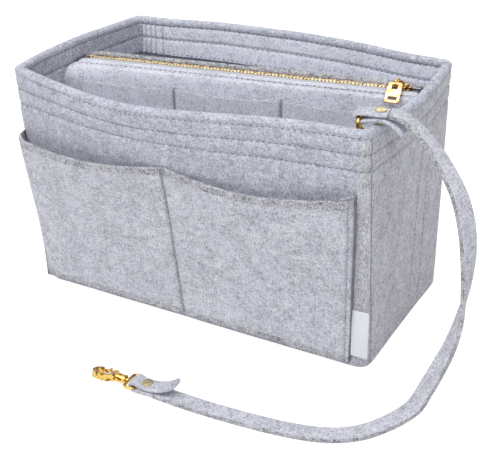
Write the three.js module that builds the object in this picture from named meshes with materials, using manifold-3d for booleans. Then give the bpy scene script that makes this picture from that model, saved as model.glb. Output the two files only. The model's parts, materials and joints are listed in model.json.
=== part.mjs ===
// Felt organizer insert for a handbag: a stiff open-topped felt tray with two front pockets, a zipped
// divider pouch sewn between its end walls, and a felt key leash with a swivel snap hook at each end.
// Millimetres. X runs along the length, the front faces -Y, +Z is up, and the origin is the middle of
// the base's underside.

import * as THREE from 'three';
import { mergeVertices } from 'three/addons/utils/BufferGeometryUtils.js';
import Module from 'manifold-3d';

const wasm = await Module();
wasm.setup();

// Body sizes
const FELT = 3;
const GAP = 0.3;
const LENGTH = 260;
const BASE_DEPTH = 130;
const RIM_DEPTH = 143;
const HEIGHT = 167;
const CORNER_RADIUS = 8;
const CORNER_ARC_SHARE = 0.12;
const FRONT_BOW = 12;
const BACK_BOW = 6;
const LEFT_BOW = 9;
const RIGHT_BOW = 6;
const BOW_POWER = 1.4;
const SWELL_POWER = 1.3;
const FRONT_SKEW = 0.667;

// Rim facing sizes
const FACING_HEIGHT = 27.5;
const SEAT_RAMP = 5;

// Front pocket sizes
const POCKET_FOOT = 4;
const POCKET_HEIGHT = 121;
const POCKET_DIP = 6;
const POCKET_LEFT_OPEN = 9;
const POCKET_RIGHT_OPEN = 7;
const POCKET_END_GAP = 11;
const POCKET_OVERHANG = 7;
const PLEAT_SPREAD = 4.5;
const PLEAT_START_SHARE = 0.22;
const POCKET_SEAM_SHARE = 0.455;
const POCKET_SEAM_FOOT = -8;
const POCKET_SEAM_TOP = -16;
const POCKET_LIFT_POWER = 1.3;
const POCKET_LEFT_POWER = 1.6;
const POCKET_RIGHT_POWER = 0.9;
const POCKET_RIGHT_TURN_SHARE = 0.62;

// Tag sizes
const TAG_WIDTH = 11.5;
const TAG_HEIGHT = 34;
const TAG_THICKNESS = 1;
const TAG_RISE = 10.5;

// Zipped pouch sizes
const POUCH_FOOT = 12;
const POUCH_HALF_DEPTH_LEFT = 13;
const POUCH_HALF_DEPTH_RIGHT = 10.5;
const POUCH_CHEEK = 8;
const CHEEK_FADE = 14;
const POUCH_LEFT_Y = -1;
const POUCH_RIGHT_Y = 16;
const RIDGE_LEFT = 157.2;
const RIDGE_RIGHT = 165.6;
const ROOF_DROP_LEFT = 13;
const ROOF_DROP_RIGHT = 8;
const ROOF_TURN = 1.15;
const ZIP_HALF_OPENING = 7;
const POUCH_END_SHARES = [0, 0.03, 0.06, 0.1, 0.15];
const POUCH_LAST_SHARES = [0.95, 1];

// Slip pocket sizes
const SLIP_FOOT = 40;
const SLIP_TOP_DROP = 14;
const SLIP_BELLY = 7;
const SLIP_SIDE_BELLY = 6;
const SLIP_END_GAP = 14;
const SLIP_SEAM_SHARES = [0.31, 0.66];
const SLIP_POWER = 0.8;
const SLIP_COLUMNS = 24;

// Zip sizes
const ZIP_PITCH = 2.6;
const CHAIN_LEFT_INSET = 10;
const CHAIN_RIGHT_INSET = 17;
const CHAIN_DROP = 2.6;
const CHAIN_HALF_WIDTH = 3;
const CHAIN_THICKNESS = 2.4;
const CHAIN_SPINE = 1.4;
const TOOTH_REACH = 1.2;
const TOOTH_ROOT = 1.1;
const TOOTH_TIP = 0.9;
const TAPE_THICKNESS = 0.7;
const TAPE_FLAT = 1.6;
const TAPE_END_INSET = 3;
const TAPE_TURN_SHARES = [0.5, 0.65, 0.8, 0.93];
const STOP_LENGTH = 2.4;
const SLIDER_LENGTH = 11;
const SLIDER_HALF_WIDTH = 4.7;
const SLIDER_REAR_HALF_WIDTH = 4.3;
const SLIDER_CORNER = 1.2;
const SLIDER_PLATE = 1.2;
const SLIDER_CLEARANCE = 0.35;
const WEDGE_LENGTH = 4.5;
const WEDGE_WIDTH = 3;
const BAIL_WIDTH = 1.6;
const BAIL_THICKNESS = 0.9;
const BAIL_SPAN = 7.4;
const BAIL_HOLE_RISE = 2.05;
const LINK_WIRE = 1;
const LINK_BORE_RADIUS = 1.15;
const LINK_REACH = 6.2;
const PULL_LENGTH = 13;
const PULL_WIDTH = 9.5;
const PULL_THICKNESS = 1.3;
const PULL_CORNER = 1.4;
const PULL_BAR = 1.2;
const PULL_HOLE_WIDTH = 4;
const PULL_HOLE_HEIGHT = 3.2;
const PULL_SLOT_WIDTH = 6;
const PULL_SLOT_HEIGHT = 2.2;
const PULL_SLOT_RISE = 1.8;
const PULL_TILT = 0.8;

// Key leash sizes
const STRAP_WIDTH = 11;
const STRAP_CHAMFER = 0.7;
const STRAP_STEPS = 78;
const RIVET_RADIUS = 3.6;
const RIVET_CAP = 0.9;
const RIVET_POST = 1.3;
const NEAR_MAIN_REACH = 16.7;
const NEAR_RIVET_REACH = 11.7;
const FAR_MAIN_REACH = 13.7;
const FAR_RIVET_REACH = 7.4;
const FAR_ROLL = -0.3;
const NEAR_EYE_INSET = 13;
const NEAR_EYE_SETBACK = 15.5;
const NEAR_EYE_RISE = 3.6;
const NEAR_TURN = 10 * Math.PI / 180;
const FAR_EYE_X = 11;
const FAR_EYE_Y = -151.2;
const FAR_TURN = 4 * Math.PI / 180;
const NEAR_TAIL_REACH = 26;
const FAR_TAIL_REACH = 28;
const NEAR_TAIL_SHARES = [[0.69, -0.06], [0.85, -0.16], [1, -0.31]];
const FAR_TAIL_SHARES = [[0.57, -0.046], [0.79, -0.125], [1, -0.268]];

// Snap hook sizes, along the hook from its swivel
const WIRE = 2;
const EYE_OPENING = 12;
const EYE_REACH = 8;
const EYE_BASE = 1.4;
const EYE_CORNER = 2.6;
const POST_RADIUS = 1.35;
const POST_HEAD_RADIUS = 1.8;
const POST_HEAD = 0.8;
const BARREL_START = 0.5;
const BARREL_RADIUS = 2.9;
const SHOULDER = 8.2;
const HOOK_THICKNESS = 4.4;
const HOOK_CENTRE = 16;
const HOOK_HALF_LENGTH = 9;
const HOOK_HALF_WIDTH = 6.4;
const HOOK_WALL = 2.3;
const NOSE_ANGLE = -1.12;
const NOSE_INNER_ANGLE = -0.9;
const GATE_END_ANGLE = -1.14;
const GATE_INNER_END_ANGLE = -0.99;
const PIVOT_ANGLE = -2.41;
const GATE_START = 0.06;
const GATE_THICKNESS = 2;
const GATE_WALL = 1.7;
const GATE_INSET = 0.3;
const EAR_RADIUS = 2.1;
const LUG_RADIUS = 1.5;
const LEVER_WIDTH = 2.6;
const LEVER_REACH = 3.2;
const LEVER_LEAN = 1.4;
const PIN_RADIUS = 0.6;
const PIN_CLEARANCE = 0.15;
const SPRING_THICKNESS = 0.35;
const SPRING_WIDTH = 1.6;
const LEAF_START = 0.25;
const LEAF_END_ANGLE = -1.75;

// D-ring and its tab
const RING_HALF_WIDTH = 8;
const RING_REACH = 12;
const TAB_WIDTH = 11;
const TAB_THICKNESS = 1.6;
const TAB_LENGTH = 16;

// Values worked out from the sizes above
const HALF_LENGTH = LENGTH / 2;
const ZIP_LENGTH = LENGTH - CHAIN_LEFT_INSET - CHAIN_RIGHT_INSET;
const STRAIGHT_END = HALF_LENGTH - CORNER_RADIUS;
const FACING_FOOT = HEIGHT - FACING_HEIGHT;
const LAYER = FELT + GAP;
const CHANNEL_HALF_HEIGHT = CHAIN_THICKNESS / 2 + SLIDER_CLEARANCE;
const SLIDER_HALF_HEIGHT = CHANNEL_HALF_HEIGHT + SLIDER_PLATE;
const BAIL_PIVOT = SLIDER_HALF_HEIGHT + BAIL_HOLE_RISE + BAIL_THICKNESS / 2;

const NUDGE_SHARE = 1e-3;
const WELD = 1e-4;

const FELT_COLOUR = 0xb9bbc6;
const FELT_SHADE = 0xa4a5ab;
const TAPE_COLOUR = 0xb4b6bf;
const GOLD = 0xd9a441;
const STEEL = 0xb8b8b8;
const WHITE = 0xf2f2f0;

const material = (color, roughness, metalness) => (
  new THREE.MeshStandardMaterial({ color, roughness, metalness })
);
const felt = () => material(FELT_COLOUR, 0.95, 0);
const darkFelt = () => material(FELT_SHADE, 0.95, 0);
const gold = () => material(GOLD, 0.25, 1);

const organizer = new THREE.Group();
const add = (parent, name, geometry, finish) => {
  const mesh = new THREE.Mesh(geometry, finish);
  mesh.name = name;
  parent.add(mesh);
  return mesh;
};

const lerp = THREE.MathUtils.lerp;
const point = (x, y, z) => new THREE.Vector3(x, y, z);
const steps = (count) => Array.from({ length: count + 1 }, (unused, index) => index / count);

// Closed shells: two matching grids of points, joined round their edges
function shell(outer, inner) {
  const columns = outer.length;
  const rows = outer[0].length;
  const positions = [];
  for (const p of [...outer.flat(), ...inner.flat()]) positions.push(p.x, p.y, p.z);
  const at = (side, i, j) => side * columns * rows + i * rows + j;
  const index = [];
  const quad = (a, b, c, d) => index.push(a, b, c, a, c, d);
  for (let i = 0; i < columns - 1; i += 1) {
    for (let j = 0; j < rows - 1; j += 1) {
      quad(at(0, i, j), at(0, i + 1, j), at(0, i + 1, j + 1), at(0, i, j + 1));
      quad(at(1, i, j), at(1, i, j + 1), at(1, i + 1, j + 1), at(1, i + 1, j));
    }
    quad(at(0, i + 1, 0), at(0, i, 0), at(1, i, 0), at(1, i + 1, 0));
    quad(at(0, i, rows - 1), at(0, i + 1, rows - 1), at(1, i + 1, rows - 1), at(1, i, rows - 1));
  }
  for (let j = 0; j < rows - 1; j += 1) {
    quad(at(0, 0, j), at(0, 0, j + 1), at(1, 0, j + 1), at(1, 0, j));
    quad(at(0, columns - 1, j + 1), at(0, columns - 1, j), at(1, columns - 1, j), at(1, columns - 1, j + 1));
  }
  const geometry = new THREE.BufferGeometry();
  geometry.setAttribute('position', new THREE.Float32BufferAttribute(positions, 3));
  geometry.setIndex(index);
  return geometry;
}

// A sheet of felt: surface(u, v) is its outer face, moved inwards by offset, and depth is its thickness.
// A level sheet is thickened sideways only, so its top and bottom edges stay level.
function slab(surface, us, vs, depth, offset = 0, level = false) {
  const outer = [];
  const inner = [];
  for (const u of us) {
    const outerColumn = [];
    const innerColumn = [];
    for (const v of vs) {
      const du = surface(Math.min(u + NUDGE_SHARE, 1), v).sub(surface(Math.max(u - NUDGE_SHARE, 0), v));
      const dv = surface(u, Math.min(v + NUDGE_SHARE, 1)).sub(surface(u, Math.max(v - NUDGE_SHARE, 0)));
      const normal = du.cross(dv);
      if (level) normal.z = 0;
      normal.normalize();
      const start = surface(u, v);
      outerColumn.push(start.clone().addScaledVector(normal, -offset));
      innerColumn.push(start.clone().addScaledVector(normal, -offset - depth));
    }
    outer.push(outerColumn);
    inner.push(innerColumn);
  }
  return shell(outer, inner);
}

// A closed loft through rings of points, each ring in the same order; a looped one joins its last ring
// to its first
function loft(rings, looped = false) {
  const sides = rings[0].length;
  const positions = rings.flat().flatMap((p) => [p.x, p.y, p.z]);
  const index = [];
  for (let r = 0; r < rings.length - (looped ? 0 : 1); r += 1) {
    for (let s = 0; s < sides; s += 1) {
      const next = (s + 1) % sides;
      const low = r * sides;
      const high = ((r + 1) % rings.length) * sides;
      index.push(low + s, low + next, high + next, low + s, high + next, high + s);
    }
  }
  const last = (rings.length - 1) * sides;
  for (let s = 1; s < sides - 1 && !looped; s += 1) {
    index.push(0, s + 1, s);
    index.push(last, last + s, last + s + 1);
  }
  const geometry = new THREE.BufferGeometry();
  geometry.setAttribute('position', new THREE.Float32BufferAttribute(positions, 3));
  geometry.setIndex(index);
  return geometry;
}

function roundedRectangle(halfWidth, halfDepth, radius) {
  const shape = new THREE.Shape();
  shape.moveTo(-halfWidth + radius, -halfDepth);
  shape.lineTo(halfWidth - radius, -halfDepth);
  shape.absarc(halfWidth - radius, -halfDepth + radius, radius, -Math.PI / 2, 0, false);
  shape.lineTo(halfWidth, halfDepth - radius);
  shape.absarc(halfWidth - radius, halfDepth - radius, radius, 0, Math.PI / 2, false);
  shape.lineTo(-halfWidth + radius, halfDepth);
  shape.absarc(-halfWidth + radius, halfDepth - radius, radius, Math.PI / 2, Math.PI, false);
  shape.lineTo(-halfWidth, -halfDepth + radius);
  shape.absarc(-halfWidth + radius, -halfDepth + radius, radius, Math.PI, Math.PI * 1.5, false);
  return shape;
}

const extrude = (shape, depth, curveSegments = 4) => (
  new THREE.ExtrudeGeometry(shape, { depth, bevelEnabled: false, curveSegments })
);

// Cuts and joins
function toSolid(geometry) {
  const bare = geometry.clone();
  for (const name of Object.keys(bare.attributes)) if (name !== 'position') bare.deleteAttribute(name);
  const merged = mergeVertices(bare, WELD);
  return new wasm.Manifold(new wasm.Mesh({
    numProp: 3,
    vertProperties: new Float32Array(merged.attributes.position.array),
    triVerts: new Uint32Array(merged.index.array),
  }));
}

function toGeometry(solid) {
  const mesh = solid.getMesh();
  const geometry = new THREE.BufferGeometry();
  geometry.setAttribute('position', new THREE.Float32BufferAttribute(Array.from(mesh.vertProperties), 3));
  geometry.setIndex(Array.from(mesh.triVerts));
  return geometry;
}

// Wall surfaces
const lean = (z) => z / HEIGHT;
const bowAt = (z) => Math.max(lean(z), 0) ** BOW_POWER;
const halfDepthAt = (z) => lerp(BASE_DEPTH, RIM_DEPTH, lean(z)) / 2;
const swell = (share, skew = 1) => (
  Math.sin(Math.PI * THREE.MathUtils.clamp(share, 0, 1) ** skew) ** SWELL_POWER
);
const lengthShare = (x) => (x + STRAIGHT_END) / (2 * STRAIGHT_END);

// Y of the front and back walls' outer faces, by x and z
const frontY = (x, z) => -halfDepthAt(z) - FRONT_BOW * swell(lengthShare(x), FRONT_SKEW) * bowAt(z);
const backY = (x, z) => halfDepthAt(z) + BACK_BOW * swell(lengthShare(x)) * bowAt(z);

// X of an end wall's outer face, by side (-1 left, 1 right), y and z
function endX(side, y, z) {
  const reach = halfDepthAt(z) - CORNER_RADIUS;
  const bow = side < 0 ? LEFT_BOW : RIGHT_BOW;
  return side * (HALF_LENGTH + bow * swell((y + reach) / (2 * reach)) * bowAt(z));
}

// The outline of an end wall seen from above: corner arc, straight or bowed side, corner arc
function endWallPoint(side, u, z) {
  const reach = halfDepthAt(z) - CORNER_RADIUS;
  const along = side < 0 ? 1 - u : u;
  const nearEnd = along < CORNER_ARC_SHARE;
  if (nearEnd || along > 1 - CORNER_ARC_SHARE) {
    const turn = nearEnd ? along / CORNER_ARC_SHARE - 1 : (along - 1 + CORNER_ARC_SHARE) / CORNER_ARC_SHARE;
    const angle = turn * Math.PI / 2;
    const centreY = nearEnd ? -reach : reach;
    const x = side * (STRAIGHT_END + CORNER_RADIUS * Math.cos(angle));
    return point(x, centreY + CORNER_RADIUS * Math.sin(angle), z);
  }
  const y = lerp(-reach, reach, (along - CORNER_ARC_SHARE) / (1 - 2 * CORNER_ARC_SHARE));
  return point(endX(side, y, z), y, z);
}
const arcSteps = steps(3).map((share) => share * CORNER_ARC_SHARE);
const endWallSteps = [
  ...arcSteps,
  ...steps(8).slice(1, -1).map((share) => lerp(CORNER_ARC_SHARE, 1 - CORNER_ARC_SHARE, share)),
  ...arcSteps.map((share) => 1 - share).reverse(),
];

function frontWallPoint(u, z) {
  const x = lerp(-STRAIGHT_END + GAP, STRAIGHT_END - GAP, u);
  return point(x, frontY(x, z), z);
}
function backWallPoint(u, z) {
  const x = lerp(STRAIGHT_END - GAP, -STRAIGHT_END + GAP, u);
  return point(x, backY(x, z), z);
}

const WALL_ROWS = steps(5);
const FACING_ROWS = steps(2);
const wallHeight = (v) => v * HEIGHT;
const facingHeight = (v) => lerp(FACING_FOOT, HEIGHT, v);

function makeBody() {
  const base = roundedRectangle(HALF_LENGTH - LAYER, BASE_DEPTH / 2 - LAYER, CORNER_RADIUS - LAYER);
  add(organizer, 'base_panel', extrude(base, FELT), felt());

  const walls = {
    front: { surface: frontWallPoint, columns: steps(16), finish: felt },
    back: { surface: backWallPoint, columns: steps(12), finish: felt },
    left: { surface: (u, z) => endWallPoint(-1, u, z), columns: endWallSteps, finish: darkFelt },
    right: { surface: (u, z) => endWallPoint(1, u, z), columns: endWallSteps, finish: darkFelt },
  };
  for (const [side, { surface, columns, finish }] of Object.entries(walls)) {
    const wall = slab((u, v) => surface(u, wallHeight(v)), columns, WALL_ROWS, FELT, 0, true);
    add(organizer, `${side}_wall`, wall, finish());
    const facing = slab((u, v) => surface(u, facingHeight(v)), columns, FACING_ROWS, FELT, LAYER, true);
    add(organizer, `${side}_rim_facing`, facing, finish());
  }
}

// Front pockets: one panel, sewn to the front wall along its foot and its middle seam
const pocketLeft = -HALF_LENGTH + GAP;
const pocketRight = HALF_LENGTH - POCKET_END_GAP;

// How far the pocket panel stands off the front wall at a share of its length and height
function pocketOpening(share, rise) {
  const lift = rise ** POCKET_LIFT_POWER;
  if (share <= POCKET_SEAM_SHARE) {
    const part = share / POCKET_SEAM_SHARE;
    return POCKET_LEFT_OPEN * Math.cos(Math.PI / 2 * part ** POCKET_LEFT_POWER) * lift;
  }
  const part = (share - POCKET_SEAM_SHARE) / (1 - POCKET_SEAM_SHARE);
  const turn = Math.PI * POCKET_RIGHT_TURN_SHARE * part;
  return POCKET_RIGHT_OPEN * Math.sin(turn) ** POCKET_RIGHT_POWER * lift;
}

function pocketX(share, rise) {
  const seam = lerp(POCKET_SEAM_FOOT, POCKET_SEAM_TOP, rise);
  if (share <= POCKET_SEAM_SHARE) return lerp(pocketLeft, seam, share / POCKET_SEAM_SHARE);
  return lerp(seam, pocketRight, (share - POCKET_SEAM_SHARE) / (1 - POCKET_SEAM_SHARE));
}

function pocketTop(share) {
  const part = share <= POCKET_SEAM_SHARE
    ? share / POCKET_SEAM_SHARE
    : (share - POCKET_SEAM_SHARE) / (1 - POCKET_SEAM_SHARE);
  return POCKET_HEIGHT - POCKET_DIP * Math.sin(Math.PI * part);
}

// The outer face of the pocket panel, which follows the wall behind it
function pocketPoint(share, v) {
  const z = lerp(POCKET_FOOT, pocketTop(share), v);
  const x = pocketX(share, v);
  return point(x, frontY(x, z) - LAYER - pocketOpening(share, v), z);
}

function makePockets() {
  const columns = [
    ...steps(8).slice(0, -1).map((s) => s * POCKET_SEAM_SHARE),
    ...steps(8).map((s) => lerp(POCKET_SEAM_SHARE, 1, s)),
  ];
  add(organizer, 'front_pocket_panel', slab(pocketPoint, columns, steps(4), FELT, 0, true), felt());

  // The pleats that close the panel's ends run from behind the panel back to the wall
  for (const [name, share, side] of [['left_pocket_pleat', 0, -1], ['right_pocket_pleat', 1, 1]]) {
    const outer = [];
    const inner = [];
    for (const reach of steps(1)) {
      const corner = (v, inset) => {
        const edge = pocketPoint(share, v);
        const hingeX = edge.x - side * POCKET_OVERHANG;
        const x = lerp(hingeX + side * PLEAT_SPREAD, hingeX, reach) - side * inset;
        const standOff = lerp(GAP, pocketOpening(share, v), reach);
        return point(x, frontY(x, edge.z) - standOff, edge.z);
      };
      const levels = steps(4).map((v) => lerp(PLEAT_START_SHARE, 1, v));
      outer.push(levels.map((v) => corner(v, 0)));
      inner.push(levels.map((v) => corner(v, FELT)));
    }
    const sheets = side > 0 ? shell(outer.reverse(), inner.reverse()) : shell(outer, inner);
    add(organizer, name, sheets, felt());
  }

  const tag = roundedRectangle(TAG_WIDTH / 2, TAG_HEIGHT / 2, TAG_THICKNESS);
  const label = add(organizer, 'side_tag', extrude(tag, TAG_THICKNESS, 2), material(WHITE, 0.8, 0));
  const wallFronts = [TAG_RISE, TAG_RISE + TAG_HEIGHT].map((z) => frontY(pocketRight, z));
  label.rotation.x = Math.PI / 2;
  label.position.set(
    pocketRight + TAG_THICKNESS + TAG_WIDTH / 2,
    Math.min(...wallFronts) - GAP,
    TAG_RISE + TAG_HEIGHT / 2,
  );
}

// Zipped pouch
const lengthwise = (x) => (x + HALF_LENGTH) / LENGTH;
const pouchCentre = (x) => lerp(POUCH_LEFT_Y, POUCH_RIGHT_Y, lengthwise(x));
const ridgeAt = (x) => lerp(RIDGE_LEFT, RIDGE_RIGHT, lengthwise(x));
const roofDropAt = (x) => lerp(ROOF_DROP_LEFT, ROOF_DROP_RIGHT, lengthwise(x));
const shoulderAt = (x) => ridgeAt(x) - roofDropAt(x);

// Half the pouch's depth, fuller at the front's left end, where the panel bulges
function pouchHalfDepth(side, x, z) {
  const rise = (Math.min(z, shoulderAt(x)) - POUCH_FOOT) / (shoulderAt(x) - POUCH_FOOT);
  const cheek = side < 0 ? POUCH_CHEEK * (1 - THREE.MathUtils.clamp(lengthwise(x), 0, 1)) ** CHEEK_FADE : 0;
  return lerp(POUCH_HALF_DEPTH_LEFT, POUCH_HALF_DEPTH_RIGHT, lengthwise(x)) + cheek * Math.max(rise, 0);
}

// The roof of a panel: part of an ellipse from its shoulder in to the zip, moved inwards by an inset
function roofPoint(side, x, turnShare, inset) {
  const half = pouchHalfDepth(side, x, shoulderAt(x));
  const turnEnd = ROOF_TURN;
  const centre = (ZIP_HALF_OPENING - half * Math.cos(turnEnd)) / (1 - Math.cos(turnEnd));
  const width = half - centre;
  const height = roofDropAt(x) / Math.sin(turnEnd);
  const turn = turnEnd * turnShare;
  const slope = new THREE.Vector2(height * Math.cos(turn), width * Math.sin(turn)).normalize();
  return {
    y: pouchCentre(x) + side * (centre + width * Math.cos(turn) - slope.x * inset),
    z: shoulderAt(x) + height * Math.sin(turn) - slope.y * inset,
  };
}

function wallPoint(side, x, z, inset) {
  return { y: pouchCentre(x) + side * (pouchHalfDepth(side, x, z) - inset), z };
}

// How far the pouch's ends stand in from the outer faces of the end walls
const seatDepth = (z) => (
  LAYER * (1 + THREE.MathUtils.clamp((z - FACING_FOOT + GAP + SEAT_RAMP) / SEAT_RAMP, 0, 1))
);
const seatX = (side, y, z) => endX(side, y, z) - side * seatDepth(z);

// A point of the pouch at a share u of the way from its left seat to its right seat
function pouchPoint(u, section) {
  const near = section(lerp(-HALF_LENGTH, HALF_LENGTH, u));
  const x = lerp(seatX(-1, near.y, near.z), seatX(1, near.y, near.z), u);
  const { y, z } = section(x);
  return point(lerp(seatX(-1, y, z), seatX(1, y, z), u), y, z);
}

const pouchColumns = [...POUCH_END_SHARES, ...steps(9).slice(2, -1), ...POUCH_LAST_SHARES];
const seatLevels = [
  ...steps(3).map((share) => lerp(POUCH_FOOT, FACING_FOOT - SEAT_RAMP - GAP, share)),
  FACING_FOOT - GAP,
];

function panelSections(side, inset) {
  return [
    ...seatLevels.map((z) => (x) => wallPoint(side, x, z, inset)),
    ...steps(5).map((turnShare) => (x) => roofPoint(side, x, turnShare, inset)),
  ];
}

// A sheet between two sets of sections, the outer one first, on the front (-1) or back (1) of the pouch
function pouchSheet(side, columns, outerSections, innerSections) {
  const grid = (sections) => columns.map((u) => sections.map((section) => pouchPoint(u, section)));
  const outer = grid(outerSections);
  const inner = grid(innerSections);
  if (side < 0) return shell(outer, inner);
  return shell(outer.reverse(), inner.reverse());
}

function makePouch() {
  for (const [name, side] of [['pouch_front_panel', -1], ['pouch_back_panel', 1]]) {
    const panel = pouchSheet(side, pouchColumns, panelSections(side, 0), panelSections(side, FELT));
    add(organizer, name, panel, felt());
  }

  // Gussets: strips between the panels that close the pouch's ends against the end walls
  for (const [name, side] of [['left_pouch_gusset', -1], ['right_pouch_gusset', 1]]) {
    const levels = [...seatLevels, shoulderAt(side * HALF_LENGTH)];
    const edge = (panel, z, inset) => {
      const start = wallPoint(panel, side * HALF_LENGTH, z, LAYER + GAP).y;
      const x = seatX(side, start, z) - side * inset;
      return wallPoint(panel, x, z, LAYER + GAP).y;
    };
    const strip = (inset) => steps(2).map((across) => levels.map((z) => {
      const share = side < 0 ? 1 - across : across;
      const y = lerp(edge(-1, z, inset), edge(1, z, inset), share);
      return point(seatX(side, y, z) - side * inset, y, z);
    }));
    add(organizer, name, shell(strip(0), strip(FELT)), darkFelt());
  }

  const floorLevel = (z) => [[-1, GAP + LAYER], [1, GAP + LAYER]].map(([side, inset]) => (
    steps(4).map((share) => {
      const x = lerp(-HALF_LENGTH + 2 * LAYER + GAP, HALF_LENGTH - 2 * LAYER - GAP, share);
      return point(x, wallPoint(side, x, POUCH_FOOT + FELT, inset).y, z);
    })
  ));
  const underside = floorLevel(POUCH_FOOT);
  const topside = floorLevel(POUCH_FOOT + FELT);
  add(organizer, 'pouch_bottom', shell(underside, topside), felt());
}

// Slip pocket on the pouch's front: one panel with two seams, standing open between them
function slipBelly(u, v) {
  const seams = [0, ...SLIP_SEAM_SHARES, 1];
  const bay = Math.max(seams.findIndex((seam) => u < seam), 1) - 1;
  const part = (u - seams[bay]) / (seams[bay + 1] - seams[bay]);
  const belly = bay === 1 ? SLIP_BELLY : SLIP_SIDE_BELLY;
  return belly * Math.abs(Math.sin(Math.PI * part)) ** SLIP_POWER * v ** SWELL_POWER;
}

function makeSlipPocket() {
  const left = -HALF_LENGTH + SLIP_END_GAP;
  const right = HALF_LENGTH - SLIP_END_GAP;
  const columns = steps(SLIP_COLUMNS).map((u) => {
    const seam = SLIP_SEAM_SHARES.find((share) => Math.abs(share - u) * SLIP_COLUMNS < 1 / 2);
    return seam === undefined ? u : seam;
  });
  const face = (u, v) => {
    const x = lerp(left, right, u);
    const z = lerp(SLIP_FOOT, ridgeAt(x) - SLIP_TOP_DROP, v);
    return point(x, wallPoint(-1, x, z, -LAYER).y - slipBelly(u, v), z);
  };
  add(organizer, 'slip_pocket_panel', slab(face, columns, steps(5), FELT, 0, true), felt());
}

// Zip: everything on the chain is drawn along it, x from the bottom stop, y across and z up
function framed(origin, along, across) {
  const x = along.clone().normalize();
  const z = x.clone().cross(across).normalize();
  const group = new THREE.Group();
  group.quaternion.setFromRotationMatrix(new THREE.Matrix4().makeBasis(x, z.clone().cross(x), z));
  group.position.copy(origin);
  organizer.add(group);
  return group;
}

const chainStartX = -HALF_LENGTH + CHAIN_LEFT_INSET;
const chainStart = point(chainStartX, pouchCentre(chainStartX), ridgeAt(chainStartX) - CHAIN_DROP);
const chainAlong = point(LENGTH, POUCH_RIGHT_Y - POUCH_LEFT_Y, RIDGE_RIGHT - RIDGE_LEFT);
const chainAcross = point(-chainAlong.y, chainAlong.x, 0);

const polygon = (points) => new THREE.Shape(points.map(([x, y]) => new THREE.Vector2(x, y)));
const block = (x0, x1, y0, y1, z0, z1) => (
  new THREE.BoxGeometry(x1 - x0, y1 - y0, z1 - z0).translate((x0 + x1) / 2, (y0 + y1) / 2, (z0 + z1) / 2)
);
const prism = (shape, z0, z1, curveSegments) => extrude(shape, z1 - z0, curveSegments).translate(0, 0, z0);

// A row of teeth is one comb: the teeth stand on the beaded edge that holds them, and the two rows mesh
function toothRow(start) {
  const spineInner = CHAIN_HALF_WIDTH - CHAIN_SPINE;
  const points = [[0, CHAIN_HALF_WIDTH], [0, spineInner]];
  for (let middle = start + ZIP_PITCH / 2; middle + TOOTH_ROOT / 2 < ZIP_LENGTH; middle += ZIP_PITCH) {
    points.push([middle - TOOTH_ROOT / 2, spineInner], [middle - TOOTH_TIP / 2, -TOOTH_REACH]);
    points.push([middle + TOOTH_TIP / 2, -TOOTH_REACH], [middle + TOOTH_ROOT / 2, spineInner]);
  }
  points.push([ZIP_LENGTH, spineInner], [ZIP_LENGTH, CHAIN_HALF_WIDTH]);
  return prism(polygon(points), -CHAIN_THICKNESS / 2, CHAIN_THICKNESS / 2);
}

function zipTape(side) {
  const chainZ = (x) => ridgeAt(x) - CHAIN_DROP;
  const flat = (across, lift) => (x) => ({ y: pouchCentre(x) + side * across, z: chainZ(x) + lift });
  const sections = (lift, inset) => [
    ...TAPE_TURN_SHARES.map((share) => (x) => roofPoint(side, x, share, inset)),
    flat(CHAIN_HALF_WIDTH + GAP + TAPE_FLAT, lift),
    flat(CHAIN_HALF_WIDTH + GAP, lift),
  ];
  const endShare = TAPE_END_INSET / LENGTH;
  const columns = [endShare, ...pouchColumns.slice(1, -1), 1 - endShare];
  const over = sections(TAPE_THICKNESS / 2, LAYER);
  const under = sections(-TAPE_THICKNESS / 2, LAYER + TAPE_THICKNESS);
  return pouchSheet(side, columns, over, under);
}

// A closed loop of round wire along points in the XY plane
function wireLoop(points, radius, sides = 8) {
  const rings = points.map((p, index) => {
    const before = points[(index + points.length - 1) % points.length];
    const after = points[(index + 1) % points.length];
    const along = after.clone().sub(before).normalize();
    return steps(sides).slice(0, -1).map((share) => {
      const angle = share * Math.PI * 2;
      const out = radius * Math.cos(angle);
      return point(p.x + along.y * out, p.y - along.x * out, -radius * Math.sin(angle));
    });
  });
  return loft(rings, true);
}

function arc(centreX, centreY, radiusX, radiusY, from, to, count) {
  return steps(count).map((share) => {
    const angle = lerp(from, to, share);
    return new THREE.Vector2(centreX + radiusX * Math.cos(angle), centreY + radiusY * Math.sin(angle));
  });
}

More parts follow.
